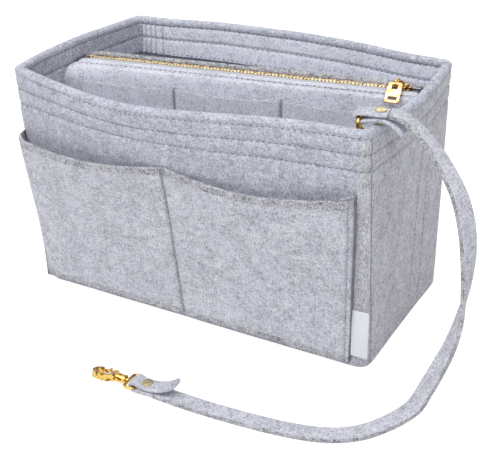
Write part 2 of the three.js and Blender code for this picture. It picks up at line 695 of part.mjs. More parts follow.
function makeSlider() {
  const half = SLIDER_LENGTH / 2;
  const outline = polygon([
    [-half, -SLIDER_REAR_HALF_WIDTH + SLIDER_CORNER],
    [-half + SLIDER_CORNER, -SLIDER_REAR_HALF_WIDTH],
    [half - SLIDER_CORNER, -SLIDER_HALF_WIDTH],
    [half, -SLIDER_HALF_WIDTH + SLIDER_CORNER],
    [half - SLIDER_CORNER, 0],
    [half, SLIDER_HALF_WIDTH - SLIDER_CORNER],
    [half - SLIDER_CORNER, SLIDER_HALF_WIDTH],
    [-half + SLIDER_CORNER, SLIDER_REAR_HALF_WIDTH],
    [-half, SLIDER_REAR_HALF_WIDTH - SLIDER_CORNER],
  ]);
  const channel = CHAIN_HALF_WIDTH + SLIDER_CLEARANCE;
  const slot = TAPE_THICKNESS / 2 + GAP;
  const wedge = polygon([
    [GAP, 0],
    [WEDGE_LENGTH / 2, -WEDGE_WIDTH / 2],
    [WEDGE_LENGTH - GAP, 0],
    [WEDGE_LENGTH / 2, WEDGE_WIDTH / 2],
  ]);
  const footHalf = BAIL_SPAN / 2;
  const bailTop = BAIL_PIVOT + BAIL_THICKNESS / 2;
  const bail = polygon([
    [-footHalf, SLIDER_HALF_HEIGHT - SLIDER_PLATE / 2],
    [-footHalf, bailTop - BAIL_THICKNESS],
    [-footHalf + BAIL_THICKNESS, bailTop],
    [footHalf - BAIL_THICKNESS, bailTop],
    [footHalf, bailTop - BAIL_THICKNESS],
    [footHalf, SLIDER_HALF_HEIGHT - SLIDER_PLATE / 2],
    [footHalf - BAIL_THICKNESS, SLIDER_HALF_HEIGHT - SLIDER_PLATE / 2],
    [footHalf - BAIL_THICKNESS, bailTop - BAIL_THICKNESS],
    [-footHalf + BAIL_THICKNESS, bailTop - BAIL_THICKNESS],
    [-footHalf + BAIL_THICKNESS, SLIDER_HALF_HEIGHT - SLIDER_PLATE / 2],
  ]);
  const bailSolid = extrude(bail, BAIL_WIDTH).rotateX(Math.PI / 2).translate(0, BAIL_WIDTH / 2, 0);
  const through = (halfWidth, halfHeight) => (
    toSolid(block(-SLIDER_LENGTH, SLIDER_LENGTH, -halfWidth, halfWidth, -halfHeight, halfHeight))
  );
  return toGeometry(
    toSolid(prism(outline, -SLIDER_HALF_HEIGHT, SLIDER_HALF_HEIGHT))
      .subtract(through(channel, CHANNEL_HALF_HEIGHT))
      .subtract(through(2 * SLIDER_HALF_WIDTH, slot))
      .add(toSolid(prism(wedge, -SLIDER_HALF_HEIGHT + GAP, SLIDER_HALF_HEIGHT - GAP)))
      .add(toSolid(bailSolid)),
  );
}

function makeLink() {
  const radius = LINK_BORE_RADIUS + LINK_WIRE / 2;
  const path = [
    ...arc(0, 0, radius, radius, -Math.PI / 2, Math.PI / 2, 6),
    ...arc(-LINK_REACH, 0, radius, radius, Math.PI / 2, Math.PI * 1.5, 6),
  ];
  return wireLoop(path, LINK_WIRE / 2, 6);
}

// The pull hangs from its top bar: y runs down it from the bar, and z is its thickness
function makePull() {
  const top = -PULL_BAR / 2;
  const shape = new THREE.Shape();
  const half = PULL_WIDTH / 2;
  shape.moveTo(-half + PULL_CORNER, top);
  shape.lineTo(half - PULL_CORNER, top);
  shape.absarc(half - PULL_CORNER, top + PULL_CORNER, PULL_CORNER, -Math.PI / 2, 0, false);
  shape.absarc(half - PULL_CORNER, PULL_LENGTH - PULL_CORNER, PULL_CORNER, 0, Math.PI / 2, false);
  shape.absarc(-half + PULL_CORNER, PULL_LENGTH - PULL_CORNER, PULL_CORNER, Math.PI / 2, Math.PI, false);
  shape.absarc(-half + PULL_CORNER, top + PULL_CORNER, PULL_CORNER, Math.PI, Math.PI * 1.5, false);
  const hole = (halfWidth, low, high) => new THREE.Path([
    new THREE.Vector2(-halfWidth, low),
    new THREE.Vector2(-halfWidth, high),
    new THREE.Vector2(halfWidth, high),
    new THREE.Vector2(halfWidth, low),
  ]);
  const slotLow = PULL_LENGTH - PULL_SLOT_RISE - PULL_SLOT_HEIGHT;
  shape.holes.push(
    hole(PULL_HOLE_WIDTH / 2, PULL_BAR / 2, PULL_BAR / 2 + PULL_HOLE_HEIGHT),
    hole(PULL_SLOT_WIDTH / 2, slotLow, slotLow + PULL_SLOT_HEIGHT),
  );
  return prism(shape, -PULL_THICKNESS / 2, PULL_THICKNESS / 2, 3);
}

function makeZip() {
  add(organizer, 'zip_tape_front', zipTape(-1), material(TAPE_COLOUR, 0.9, 0));
  add(organizer, 'zip_tape_back', zipTape(1), material(TAPE_COLOUR, 0.9, 0));

  const chain = framed(chainStart, chainAlong, chainAcross);
  add(chain, 'zip_teeth_back', toothRow(0), gold());
  add(chain, 'zip_teeth_front', toothRow(ZIP_PITCH / 2), gold()).rotation.x = Math.PI;
  const spineInner = CHAIN_HALF_WIDTH - CHAIN_SPINE;
  const tall = CHAIN_THICKNESS / 2;
  const bottomStop = block(-GAP - STOP_LENGTH, -GAP, -spineInner, spineInner, -tall, tall);
  add(chain, 'zip_bottom_stop', bottomStop, gold());
  const stopStart = ZIP_LENGTH + SLIDER_LENGTH / 2 + GAP;
  for (const [name, side] of [['zip_top_stop_front', -1], ['zip_top_stop_back', 1]]) {
    const edges = [side * spineInner, side * CHAIN_HALF_WIDTH].sort((a, b) => a - b);
    add(chain, name, block(stopStart, stopStart + STOP_LENGTH, ...edges, -tall, tall), gold());
  }

  const slider = add(chain, 'zip_slider', makeSlider(), gold());
  slider.position.x = ZIP_LENGTH;
  const pivot = new THREE.Group();
  pivot.position.set(ZIP_LENGTH, 0, BAIL_PIVOT);
  chain.add(pivot);
  const link = add(pivot, 'zip_pull_link', makeLink(), gold());
  const crosswise = new THREE.Matrix4().makeBasis(point(0, 1, 0), point(0, 0, 1), point(1, 0, 0));
  link.quaternion.setFromRotationMatrix(crosswise);
  const pull = add(pivot, 'zip_pull', makePull(), gold());
  pull.position.y = -LINK_REACH;
  pull.rotation.x = Math.PI + PULL_TILT;
}

// Snap hook: x runs from the swivel to the tip, y is the width of the claw and z its thickness
const pivotX = HOOK_CENTRE + (HOOK_HALF_LENGTH - HOOK_WALL / 2) * Math.cos(PIVOT_ANGLE);
const pivotY = (HOOK_HALF_WIDTH - HOOK_WALL / 2) * Math.sin(PIVOT_ANGLE);

const turned = (radius, from, to, sides = 16) => {
  const rod = new THREE.CylinderGeometry(radius, radius, to - from, sides).rotateZ(Math.PI / 2);
  return rod.translate((from + to) / 2, 0, 0);
};
const disc = (radius, thickness, sides = 16) => {
  const round = new THREE.CylinderGeometry(radius, radius, thickness, sides).rotateX(Math.PI / 2);
  return round.translate(pivotX, pivotY, 0);
};

// A band of the claw's ellipse, between two insets from its outer edge and two angles. Its inner edge
// can start and end at other angles.
function clawBand(outerInset, innerInset, from, to, count, innerFrom = from, innerTo = to) {
  const edge = (inset, start, end) => (
    arc(HOOK_CENTRE, 0, HOOK_HALF_LENGTH - inset, HOOK_HALF_WIDTH - inset, start, end, count)
  );
  return new THREE.Shape([...edge(outerInset, from, to), ...edge(innerInset, innerTo, innerFrom)]);
}

function hookBody() {
  const half = HOOK_THICKNESS / 2;
  const slotHalf = GATE_THICKNESS / 2 + GAP;
  const claw = clawBand(0, HOOK_WALL, NOSE_ANGLE, Math.PI * 2 + PIVOT_ANGLE, 30, NOSE_INNER_ANGLE);
  const headSide = POST_HEAD_RADIUS + GAP;
  const headRoom = block(SHOULDER, HOOK_CENTRE, -headSide, headSide, -HOOK_THICKNESS, HOOK_THICKNESS);
  const lugRoom = LUG_RADIUS + 2 * GAP;
  const fork = block(pivotX - lugRoom, HOOK_CENTRE, -HOOK_HALF_LENGTH, pivotY + lugRoom, -slotHalf, slotHalf);
  return toGeometry(
    toSolid(prism(claw, -half, half))
      .add(toSolid(turned(BARREL_RADIUS, BARREL_START, SHOULDER - GAP)))
      .add(toSolid(disc(EAR_RADIUS, HOOK_THICKNESS)))
      .subtract(toSolid(turned(POST_RADIUS + GAP, 0, SHOULDER + POST_HEAD)))
      .subtract(toSolid(headRoom))
      .subtract(toSolid(fork))
      .subtract(toSolid(disc(PIN_RADIUS + PIN_CLEARANCE, HOOK_THICKNESS + GAP, 12))),
  );
}

function hookGate() {
  const half = GATE_THICKNESS / 2;
  const start = PIVOT_ANGLE + GATE_START;
  const innerEdge = GATE_INSET + GATE_WALL;
  const band = clawBand(GATE_INSET, innerEdge, start, GATE_END_ANGLE, 12, start, GATE_INNER_END_ANGLE);
  const leverRoot = -HOOK_HALF_WIDTH + GATE_INSET + GATE_WALL / 2;
  const lever = polygon([
    [HOOK_CENTRE - LEVER_WIDTH / 2, leverRoot],
    [HOOK_CENTRE - LEVER_WIDTH / 2 + LEVER_LEAN, -HOOK_HALF_WIDTH - LEVER_REACH],
    [HOOK_CENTRE + LEVER_WIDTH / 2, -HOOK_HALF_WIDTH - LEVER_REACH],
    [HOOK_CENTRE + LEVER_WIDTH / 2, leverRoot],
  ]);
  return toGeometry(
    toSolid(prism(band, -half, half))
      .add(toSolid(disc(LUG_RADIUS, GATE_THICKNESS)))
      .add(toSolid(prism(lever, -half, half)))
      .subtract(toSolid(disc(PIN_RADIUS + PIN_CLEARANCE, GATE_THICKNESS + GAP, 12))),
  );
}

function hookEye() {
  const side = EYE_OPENING / 2 + WIRE / 2;
  const corner = EYE_CORNER;
  const far = -EYE_REACH;
  const near = -EYE_BASE;
  const quarter = Math.PI / 2;
  const path = [
    ...arc(near - corner, side - corner, corner, corner, 0, quarter, 3),
    ...arc(far + corner, side - corner, corner, corner, quarter, Math.PI, 3),
    ...arc(far + corner, -side + corner, corner, corner, Math.PI, Math.PI * 1.5, 3),
    ...arc(near - corner, -side + corner, corner, corner, Math.PI * 1.5, Math.PI * 2, 3),
  ];
  return toGeometry(
    toSolid(wireLoop(path, WIRE / 2))
      .add(toSolid(turned(POST_RADIUS, -EYE_BASE, SHOULDER + GAP + POST_HEAD)))
      .add(toSolid(turned(POST_HEAD_RADIUS, SHOULDER + GAP, SHOULDER + GAP + POST_HEAD))),
  );
}

function makeHook(name, origin, along, clawAcross, eyeAcross) {
  const eye = framed(origin, along, eyeAcross);
  add(eye, `${name}_hook_eye`, hookEye(), gold());
  const hook = framed(origin, along, clawAcross);
  add(hook, `${name}_hook_body`, hookBody(), gold());
  add(hook, `${name}_hook_gate`, hookGate(), gold());
  add(hook, `${name}_hook_pin`, disc(PIN_RADIUS, HOOK_THICKNESS, 12), gold());
  const outside = GATE_INSET + GATE_WALL + GAP;
  const leaf = clawBand(outside, outside + SPRING_THICKNESS, PIVOT_ANGLE + LEAF_START, LEAF_END_ANGLE, 6);
  const spring = prism(leaf, -SPRING_WIDTH / 2, SPRING_WIDTH / 2);
  add(hook, `${name}_gate_spring`, spring, material(STEEL, 0.3, 1));
}

// Key leash: a felt strap from the right rim to the floor, folded round a snap hook's eye at each end
const nearEye = point(HALF_LENGTH - NEAR_EYE_INSET, NEAR_EYE_SETBACK - RIM_DEPTH / 2, HEIGHT + NEAR_EYE_RISE);
const nearAlong = point(Math.cos(NEAR_TURN), Math.sin(NEAR_TURN), 0);
const farEye = point(FAR_EYE_X, FAR_EYE_Y, GAP + RIVET_CAP + LAYER + GAP + WIRE / 2);
const farAlong = point(Math.cos(FAR_TURN), Math.sin(FAR_TURN), 0);
const layerOffset = WIRE / 2 + GAP + FELT / 2;

// The strap's middle line, with the direction of its width in degrees
const strapRoute = [
  [133.9, -53.03, 173.4, 100],
  [139, -52.2, 172.9, 99],
  [146.5, -51.6, 169.6, 95],
  [155.5, -52.2, 162.7, 90],
  [164.5, -54, 154, 82],
  [173, -56.7, 144.2, 72],
  [180.4, -60, 134.4, 62],
  [186.5, -64, 122, 55],
  [191, -68.8, 106, 66],
  [193, -74, 83, 92],
  [192.3, -78, 66, 116],
  [189.3, -82.8, 48.5, 132],
  [185, -87, 35, 142],
  [179.5, -91, 20, 149],
  [174.5, -94.8, 8, 151],
  [168.5, -101, 2.3, 150],
  [162.5, -112.5, 1.9, 148],
  [153.5, -125.5, 1.9, 136],
  [142.3, -134.3, 1.9, 121],
  [129.6, -139.9, 1.9, 107],
  [110, -144.3, 1.9, 99],
  [89.6, -146.8, 1.9, 96],
  [73.4, -148.2, 1.9, 94.5],
  [53.6, -149.2, 1.9, 93.5],
  [38, -149.6, 2.2, 94],
  [25.05, -150.22, 3, 94],
];

// One cross-section of the strap: a flat bar with its edges taken off
function strapRing(middle, along, across) {
  const width = across.clone().addScaledVector(along, -across.dot(along)).normalize();
  const face = along.clone().cross(width);
  const halfWidth = STRAP_WIDTH / 2;
  const halfFelt = FELT / 2;
  const cut = STRAP_CHAMFER;
  const corners = [
    [halfWidth, -halfFelt + cut], [halfWidth, halfFelt - cut], [halfWidth - cut, halfFelt],
    [-halfWidth + cut, halfFelt], [-halfWidth, halfFelt - cut], [-halfWidth, -halfFelt + cut],
    [-halfWidth + cut, -halfFelt], [halfWidth - cut, -halfFelt],
  ];
  return corners.map(([w, n]) => middle.clone().addScaledVector(width, w).addScaledVector(face, n));
}

function makeStrap() {
  const places = strapRoute.map(([x, y, z]) => point(x, y, z));
  const line = new THREE.CatmullRomCurve3(places, false, 'centripetal');
  const last = strapRoute.length - 1;
  const rings = steps(STRAP_STEPS).map((share) => {
    const t = line.getUtoTmapping(share);
    const before = Math.min(Math.floor(t * last), last - 1);
    const degrees = lerp(strapRoute[before][3], strapRoute[before + 1][3], t * last - before);
    const angle = degrees * Math.PI / 180;
    return strapRing(line.getPoint(t), line.getTangent(t), point(Math.cos(angle), Math.sin(angle), 0));
  });
  add(organizer, 'leash_strap', loft(rings), felt());
}

// An end fold, drawn in a plane: reach runs back from the eye's bar along the strap, and side says
// whether the strap lies over (1) or under (-1) the bar. The tail is the part past the rivet.
function makeFold(name, eye, along, side, reaches, tailShares) {
  const [mainReach, rivetReach, tailReach] = reaches;
  const squeeze = FELT + GAP;
  const place = (reach, height) => (
    eye.clone().addScaledVector(along, reach).add(point(0, 0, side * height))
  );
  const wrap = arc(0, 0, layerOffset, layerOffset, Math.PI / 2, Math.PI * 1.5, 8);
  const points = [
    place(mainReach, layerOffset),
    place(mainReach / 2, layerOffset),
    ...wrap.map((p) => place(p.x, p.y)),
    place(rivetReach - RIVET_RADIUS, layerOffset - squeeze - GAP / 2),
    place(rivetReach, layerOffset - squeeze),
    place(rivetReach + RIVET_RADIUS, layerOffset - squeeze),
    ...tailShares.map(([reach, height]) => place(reach * tailReach, height * tailReach)),
  ];
  const across = point(-along.y, along.x, 0);
  const rings = points.map((p, index) => {
    const before = points[Math.max(index - 1, 0)];
    const after = points[Math.min(index + 1, points.length - 1)];
    return strapRing(p, after.clone().sub(before).normalize(), across);
  });
  const rivetBase = place(rivetReach, layerOffset - squeeze / 2);
  const upright = (radius, height, sides) => (
    new THREE.CylinderGeometry(radius, radius, height, sides).rotateX(Math.PI / 2)
      .translate(rivetBase.x, rivetBase.y, rivetBase.z)
  );
  const stack = squeeze + FELT;
  add(organizer, `${name}_strap_fold`, toGeometry(
    toSolid(loft(rings)).subtract(toSolid(upright(RIVET_POST + GAP, stack + 2 * FELT, 12))),
  ), felt());

  // The rivet: a post through both layers with a domed cap at each end
  const halfStack = stack / 2 + GAP;
  const capEdge = halfStack + RIVET_CAP / 2;
  const profile = [
    [0, -halfStack - RIVET_CAP], [RIVET_RADIUS / 2, -halfStack - RIVET_CAP], [RIVET_RADIUS, -capEdge],
    [RIVET_RADIUS, -halfStack], [RIVET_POST, -halfStack], [RIVET_POST, halfStack],
    [RIVET_RADIUS, halfStack], [RIVET_RADIUS, capEdge], [RIVET_RADIUS / 2, halfStack + RIVET_CAP],
    [0, halfStack + RIVET_CAP],
  ].map(([radius, height]) => new THREE.Vector2(radius, height));
  const rivet = new THREE.LatheGeometry(profile, 16).rotateX(Math.PI / 2);
  const mesh = add(organizer, `${name}_rivet`, rivet, gold());
  mesh.position.copy(rivetBase);
}

// D-ring in a felt tab sewn to the right wall, under the facing
function makeRing(hookOrigin) {
  const clawEnd = HOOK_CENTRE + HOOK_HALF_LENGTH - HOOK_WALL;
  const apexZ = hookOrigin.z - clawEnd + 2 * GAP + WIRE / 2;
  const wallInside = Math.min(...[-1, 1].map((side) => (
    endX(1, hookOrigin.y + side * TAB_WIDTH / 2, apexZ - TAB_LENGTH) - FELT
  )));
  const loopRadius = WIRE / 2 + GAP + TAB_THICKNESS / 2;
  const tabX = wallInside - GAP - TAB_THICKNESS / 2;
  const barX = tabX - loopRadius;
  const tilt = Math.asin((barX - hookOrigin.x) / RING_REACH);
  const barZ = apexZ - RING_REACH * Math.cos(tilt);

  const ringPath = [
    new THREE.Vector2(0, -RING_HALF_WIDTH),
    ...arc(0, 0, RING_REACH, RING_HALF_WIDTH, -Math.PI / 2, Math.PI / 2, 14).slice(1, -1),
    new THREE.Vector2(0, RING_HALF_WIDTH),
  ];
  const barY = hookOrigin.y;
  const along = point(-Math.sin(tilt), 0, Math.cos(tilt));
  const ring = framed(point(barX, barY, barZ), along, point(0, 1, 0));
  add(ring, 'd_ring', wireLoop(ringPath, WIRE / 2), gold());

  const innerX = tabX - TAB_THICKNESS - GAP;
  const path = [
    point(tabX, barY, barZ - TAB_LENGTH),
    ...arc(barX, barZ, loopRadius, loopRadius, 0, Math.PI, 8).map((p) => point(p.x, barY, p.y)),
    point(innerX, barY, barZ - 2 * loopRadius),
    point(innerX, barY, barZ - TAB_LENGTH),
  ];
  const rings = path.map((p, index) => {
    const before = path[Math.max(index - 1, 0)];
    const after = path[Math.min(index + 1, path.length - 1)];
    const direction = after.clone().sub(before).normalize();
    const out = point(direction.z, 0, -direction.x).multiplyScalar(TAB_THICKNESS / 2);
    const width = point(0, TAB_WIDTH / 2, 0);
    return [
      p.clone().add(out).add(width), p.clone().sub(out).add(width),
      p.clone().sub(out).sub(width), p.clone().add(out).sub(width),
    ];
  });
  add(organizer, 'd_ring_tab', loft(rings), felt());
}

function makeLeash() {
  makeStrap();
  const nearReaches = [NEAR_MAIN_REACH, NEAR_RIVET_REACH, NEAR_TAIL_REACH];
  const farReaches = [FAR_MAIN_REACH, FAR_RIVET_REACH, FAR_TAIL_REACH];
  makeFold('near', nearEye, nearAlong, 1, nearReaches, NEAR_TAIL_SHARES);
  makeFold('far', farEye, farAlong, -1, farReaches, FAR_TAIL_SHARES);

  const nearOrigin = nearEye.clone().add(point(0, 0, -EYE_REACH));
  makeHook('near', nearOrigin, point(0, 0, -1), point(1, 0, 0), point(-nearAlong.y, nearAlong.x, 0));
  const farOrigin = farEye.clone().addScaledVector(farAlong, -EYE_REACH);
  const across = point(farAlong.y, -farAlong.x, 0);
  const rolled = across.clone().multiplyScalar(Math.cos(FAR_ROLL)).add(point(0, 0, -Math.sin(FAR_ROLL)));
  makeHook('far', farOrigin, farAlong.clone().negate(), rolled, across);
  makeRing(nearOrigin);
}

makeBody();
makePockets();
makePouch();
makeSlipPocket();
makeZip();
makeLeash();

export default organizer;
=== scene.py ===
"""Finishes the felt organizer insert: its felt body, front pockets, zipped pouch and key leash."""

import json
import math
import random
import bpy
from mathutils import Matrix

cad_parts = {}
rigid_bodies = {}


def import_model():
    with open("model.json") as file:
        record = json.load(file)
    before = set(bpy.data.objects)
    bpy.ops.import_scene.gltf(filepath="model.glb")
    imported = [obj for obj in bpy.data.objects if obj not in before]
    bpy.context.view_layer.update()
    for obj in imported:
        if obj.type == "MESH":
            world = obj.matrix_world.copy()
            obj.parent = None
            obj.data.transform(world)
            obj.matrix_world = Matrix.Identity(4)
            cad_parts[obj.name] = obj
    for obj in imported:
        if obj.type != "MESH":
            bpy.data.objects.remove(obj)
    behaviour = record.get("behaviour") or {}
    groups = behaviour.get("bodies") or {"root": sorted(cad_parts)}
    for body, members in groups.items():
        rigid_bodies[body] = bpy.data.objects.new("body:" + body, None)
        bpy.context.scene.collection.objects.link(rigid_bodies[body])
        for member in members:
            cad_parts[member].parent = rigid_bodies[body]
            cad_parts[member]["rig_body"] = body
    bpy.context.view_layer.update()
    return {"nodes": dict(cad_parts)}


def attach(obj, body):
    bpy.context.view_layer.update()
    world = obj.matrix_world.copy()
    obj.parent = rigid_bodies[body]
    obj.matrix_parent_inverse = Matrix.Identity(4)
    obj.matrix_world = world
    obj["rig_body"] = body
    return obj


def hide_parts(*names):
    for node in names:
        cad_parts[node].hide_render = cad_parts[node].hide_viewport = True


bl_info = {
    "name": "Felt Organizer Insert",
    "version": (1, 0, 0),
    "blender": (4, 5, 0),
    "location": "View3D > Sidebar > Organizer",
    "description": "Builds the felt organizer insert, its zipped pouch and its key leash on their packed frame",
    "category": "Object",
}

from collections import namedtuple
from contextlib import contextmanager

import bmesh
import bpy
import numpy as np
from bpy.props import FloatProperty, FloatVectorProperty, IntProperty, PointerProperty
from mathutils import Matrix, Vector, noise
from mathutils.bvhtree import BVHTree

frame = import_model()
NODES = frame["nodes"]
MM = 0.001


def linear(red, green, blue):
    """A colour given as 0 to 255 on screen, as the shader takes it."""
    parts = [value / 255 for value in (red, green, blue)]
    return tuple(p / 12.92 if p <= 0.04045 else ((p + 0.055) / 1.055) ** 2.4 for p in parts)


def millimetres(*values):
    return Vector(values) * MM


# Places taken over from the part's source, in metres
WALL_NODES = ["front_wall", "back_wall", "left_wall", "right_wall"]
FELT_THICKNESS = 3 * MM
RIM_TOP = 167 * MM
RIM_LAYERS = 6.3 * MM
RIM_ROWS = [162 * MM, 151.5 * MM, 140.8 * MM]
END_WALLS = [("left", -1, [-9.5 * MM, 7.5 * MM]), ("right", 1, [7.5 * MM, 24.5 * MM])]
POCKET_SEAM = (millimetres(-8, 0, 4), millimetres(-16, 0, 121))
SLIP_SEAMS = [-44.1 * MM, 37.1 * MM]
CHAIN_START = millimetres(-120, -0.346, 154.923)
CHAIN_ALONG = Vector((260, 17, 8.4)).normalized()
CHAIN_ACROSS = Vector((-17, 260, 0)).normalized()
CHAIN_UP = CHAIN_ALONG.cross(CHAIN_ACROSS).normalized()
CHAIN_LENGTH = 233 * MM
TOOTH_PITCH = 2.6 * MM
STRAP_WIDTH, STRAP_ROUNDING = 11 * MM, 0.4 * MM
NEAR_RIVET = millimetres(128.5, -54, 171)
STRAP_ROUTE = [
    (133.9, -53.03, 173.4, 100),
    (139, -52.2, 172.9, 99),
    (146.5, -51.6, 169.6, 95),
    (155.5, -52.2, 162.7, 90),
    (164.5, -54, 154, 82),
    (173, -56.7, 144.2, 72),
    (180.4, -60, 134.4, 62),
    (186.5, -64, 122, 55),
    (191, -68.8, 106, 66),
    (193, -74, 83, 92),
    (192.3, -78, 66, 116),
    (189.3, -82.8, 48.5, 132),
    (185, -87, 35, 142),
    (179.5, -91, 20, 149),
    (174.5, -94.8, 8, 151),
    (168.5, -101, 2.3, 150),
    (162.5, -112.5, 1.9, 148),
    (153.5, -125.5, 1.9, 136),
    (142.3, -134.3, 1.9, 121),
    (129.6, -139.9, 1.9, 107),
    (110, -144.3, 1.9, 99),
    (89.6, -146.8, 1.9, 96),
    (73.4, -148.2, 1.9, 94.5),
    (53.6, -149.2, 1.9, 93.5),
    (38, -149.6, 2.2, 94),
    (25.05, -150.22, 3, 94),
]


# How the filled, standing body leaves its drawn shape, and where
CORNER_LEAN, CORNER_LEAN_REACH, LEAN_FULL_HEIGHT = 6.2 * MM, 85 * MM, 115 * MM
FRONT_SAG, SAG_LOWEST_X, SAG_REACH_LEFT, SAG_REACH_RIGHT = 6.5 * MM, -38 * MM, 88 * MM, 130 * MM
BACK_LIFT, LIFT_REACH = 2.2 * MM, 110 * MM
LEFT_CORNER = (-125 * MM, -68 * MM)

# Where the front and back walls butt against the end walls, and where their own ends start
WALL_JOINT_X, WALL_JOINT_Y, WALL_END_X = 122 * MM, 56 * MM, 121.6 * MM

# The end walls' corner seams lean from their foot, at one y, to their top, at another
CORNER_SEAM_FOOT, CORNER_SEAM_TOP, CORNER_SEAM_HEIGHT = 57.5 * MM, 66 * MM, 160 * MM
CORNER_SEAM_LEAN = (CORNER_SEAM_TOP - CORNER_SEAM_FOOT) / CORNER_SEAM_HEIGHT

# The front pockets' top edge, and how far their felt is turned in at each end
POCKET_TOP = 121 * MM
LEFT_END_REACH, LEFT_END_DEPTH = 14 * MM, 16 * MM
RIGHT_END_REACH, RIGHT_END_DEPTH = 4 * MM, 8.5 * MM

# The felt turned over the rim: how far it stands out past the layers inside it, and its round's height
FOLD_PROUD, FOLD_RISE = 0.12 * MM, 2.9 * MM

# The pouch's top turns down at its left end, from this x on, over a reach and by a drop
POUCH_TURN_X, POUCH_TURN_REACH, POUCH_TURN_DROP = -121 * MM, 12 * MM, 6 * MM

# The front pockets' middle seam and right end lean right, and the right end stands up, all in millimetres
POCKET_SEAM_X, POCKET_LEAN_REACH = -12 * MM, 105 * MM
POCKET_SEAM_LEAN, POCKET_END_LEAN, POCKET_END_RISE, POCKET_END_PEAK = 5.5, 5.0, 4.0, 3.5
PLEAT_TUCKED_IN, PLEAT_SET_DOWN = 3.5 * MM, 9 * MM

# How sewn seams press into the felt: half width, depth and how dark the painted shade in the crease is
PRESSED = {
    "corner": (1.1 * MM, 0.5 * MM, 0.55),
    "end wall": (1.4 * MM, 0.45 * MM, 0.25),
    "tuck": (1.3 * MM, 0.5 * MM, 0.45),
    "pocket": (2.4 * MM, 1.5 * MM, 0.5),
    "slip pocket": (2.2 * MM, 1.0 * MM, 0.7),
}
TUCKS_X = (-118.5, -114.3, -110, -103.5)

# How far below the chain the seam along the zip runs, in millimetres, and how flat the felt is pressed there
ZIP_SEAM_DROP, ZIP_EDGE_PRESSED = 0.9, 1.8 * MM

# One tooth of the zip: its size, where its wider legs start and how much wider they are
TOOTH_SIZE = (1.06 * MM, 4.4 * MM, 2.2 * MM)
TOOTH_LEGS_Y, TOOTH_LEGS_WIDER = 1.4 * MM, (1.45, 1, 1.1)

# The tapes' corded beads, in millimetres: how far off the chain's middle, and their half width and height
BEAD_OFF_MIDDLE, BEAD_HALF_WIDTH, BEAD_HALF_HEIGHT = 2.75, 0.8, 0.72

# Which draw of the felt's slow unevenness is used. Blender's noise takes the clock where none is given
UNEVENNESS_SEED = 1795898179

# How finely lines are followed: the rim's outline by rays, stitch lines, the strap and the tapes' beads
OUTLINE_RAYS, OUTLINE_STEP, LENGTH_TO_DEPTH = 720, 1.2 * MM, 1.9
STITCH_GRID, LINE_STEP = 0.0015, 1.5 * MM
STRAP_STEPS, BEAD_STEPS = 300, 80

# Where the rays that find the cloth under stitches start, and between which heights upright rows are sewn
END_WALL_RAYS_X, POCKET_RAYS_Y, SLIP_POCKET_RAYS_Y = 0.16, -0.12, -0.06
SIDE_STITCHES, CORNER_STITCHES, SLIP_POCKET_STITCHES = (0.015, 0.138), (0.004, 0.139), (0.042, 0.15)

# The camera fitted to the photograph: its turn, rise and roll in degrees, and what it looks at
CAMERA_ANGLES = (30.14, 28.32, -1.61)
CAMERA_TARGET = Vector((0.00823, 0, 0.04036))
CAMERA_DISTANCE = 0.73769
CAMERA_LENS = 72.787

# The studio lamps: place, size in metres and power in watts
LAMPS = {
    "key_light": ((-0.9, -1.7, 2.9), 1.8, 55),
    "fill_light": ((1.3, -1.1, 2.7), 2.0, 39),
    "back_light": ((-0.6, 2.2, 2.4), 1.8, 14),
}
LAMP_TARGET = Vector((0, 0, 0.08))
AMBIENT_STRENGTH = 0.36
FLOOR_GLOW, FLOOR_GLOW_SHARE = 1.35, 0.65

# A sewn seam pressed into a sheet: the plane it lies in, its half width and depth, how dark the painted shade in
# its crease is, the side it shows on (None for both) and the part of the sheet that it crosses
Seam = namedtuple("Seam", "place across width depth shade side inside", defaults=(None, lambda p: True))


def length_property(name, description, default, low, high):
    """A length for the panel, given in millimetres."""
    return FloatProperty(
        name=name, description=description, default=default * MM, min=low * MM, max=high * MM, unit="LENGTH",
    )


def colour_property(name, description, *screen_values):
    """A colour for the panel, given as 0 to 255 on screen."""
    return FloatVectorProperty(
        name=name, description=description, subtype="COLOR", size=3, default=linear(*screen_values), min=0, max=1,
    )


class FeltSizes(bpy.types.PropertyGroup):
    edge_rounding: length_property("Edge Rounding", "Radius worn onto the cut edges of the felt", 0.55, 0, 1.2)
    waviness: length_property("Waviness", "How far the felt sheets wander from their drawn surface", 0.8, 0, 3)
    groove_width: length_property(
        "Groove Half Width", "Half the width of the channel that a seam presses into the felt", 2.0, 0.5, 3,
    )
    groove_depth: length_property("Groove Depth", "How deep a seam presses into the felt", 0.8, 0, 1.3)
    stitch_pitch: length_property("Stitch Pitch", "Distance from one stitch to the next", 4.0, 2, 8)
    stitch_length: length_property("Stitch Length", "Length of thread showing between two needle holes", 2.3, 1, 7)
    thread_width: length_property("Thread Width", "Width of the sewing thread", 0.62, 0.2, 1.5)
    smoothing_levels: IntProperty(
        name="Smoothing Levels", description="Subdivision levels of the felt sheets", default=2, min=0, max=3,
    )


class MetalSizes(bpy.types.PropertyGroup):
    voxel: length_property("Casting Voxel", "Grid size on which the cast metal pieces are rounded", 0.14, 0.1, 0.5)
    polish_passes: IntProperty(
        name="Polishing Passes", description="How many times the cast metal surface is smoothed",
        default=6, min=0, max=30,
    )


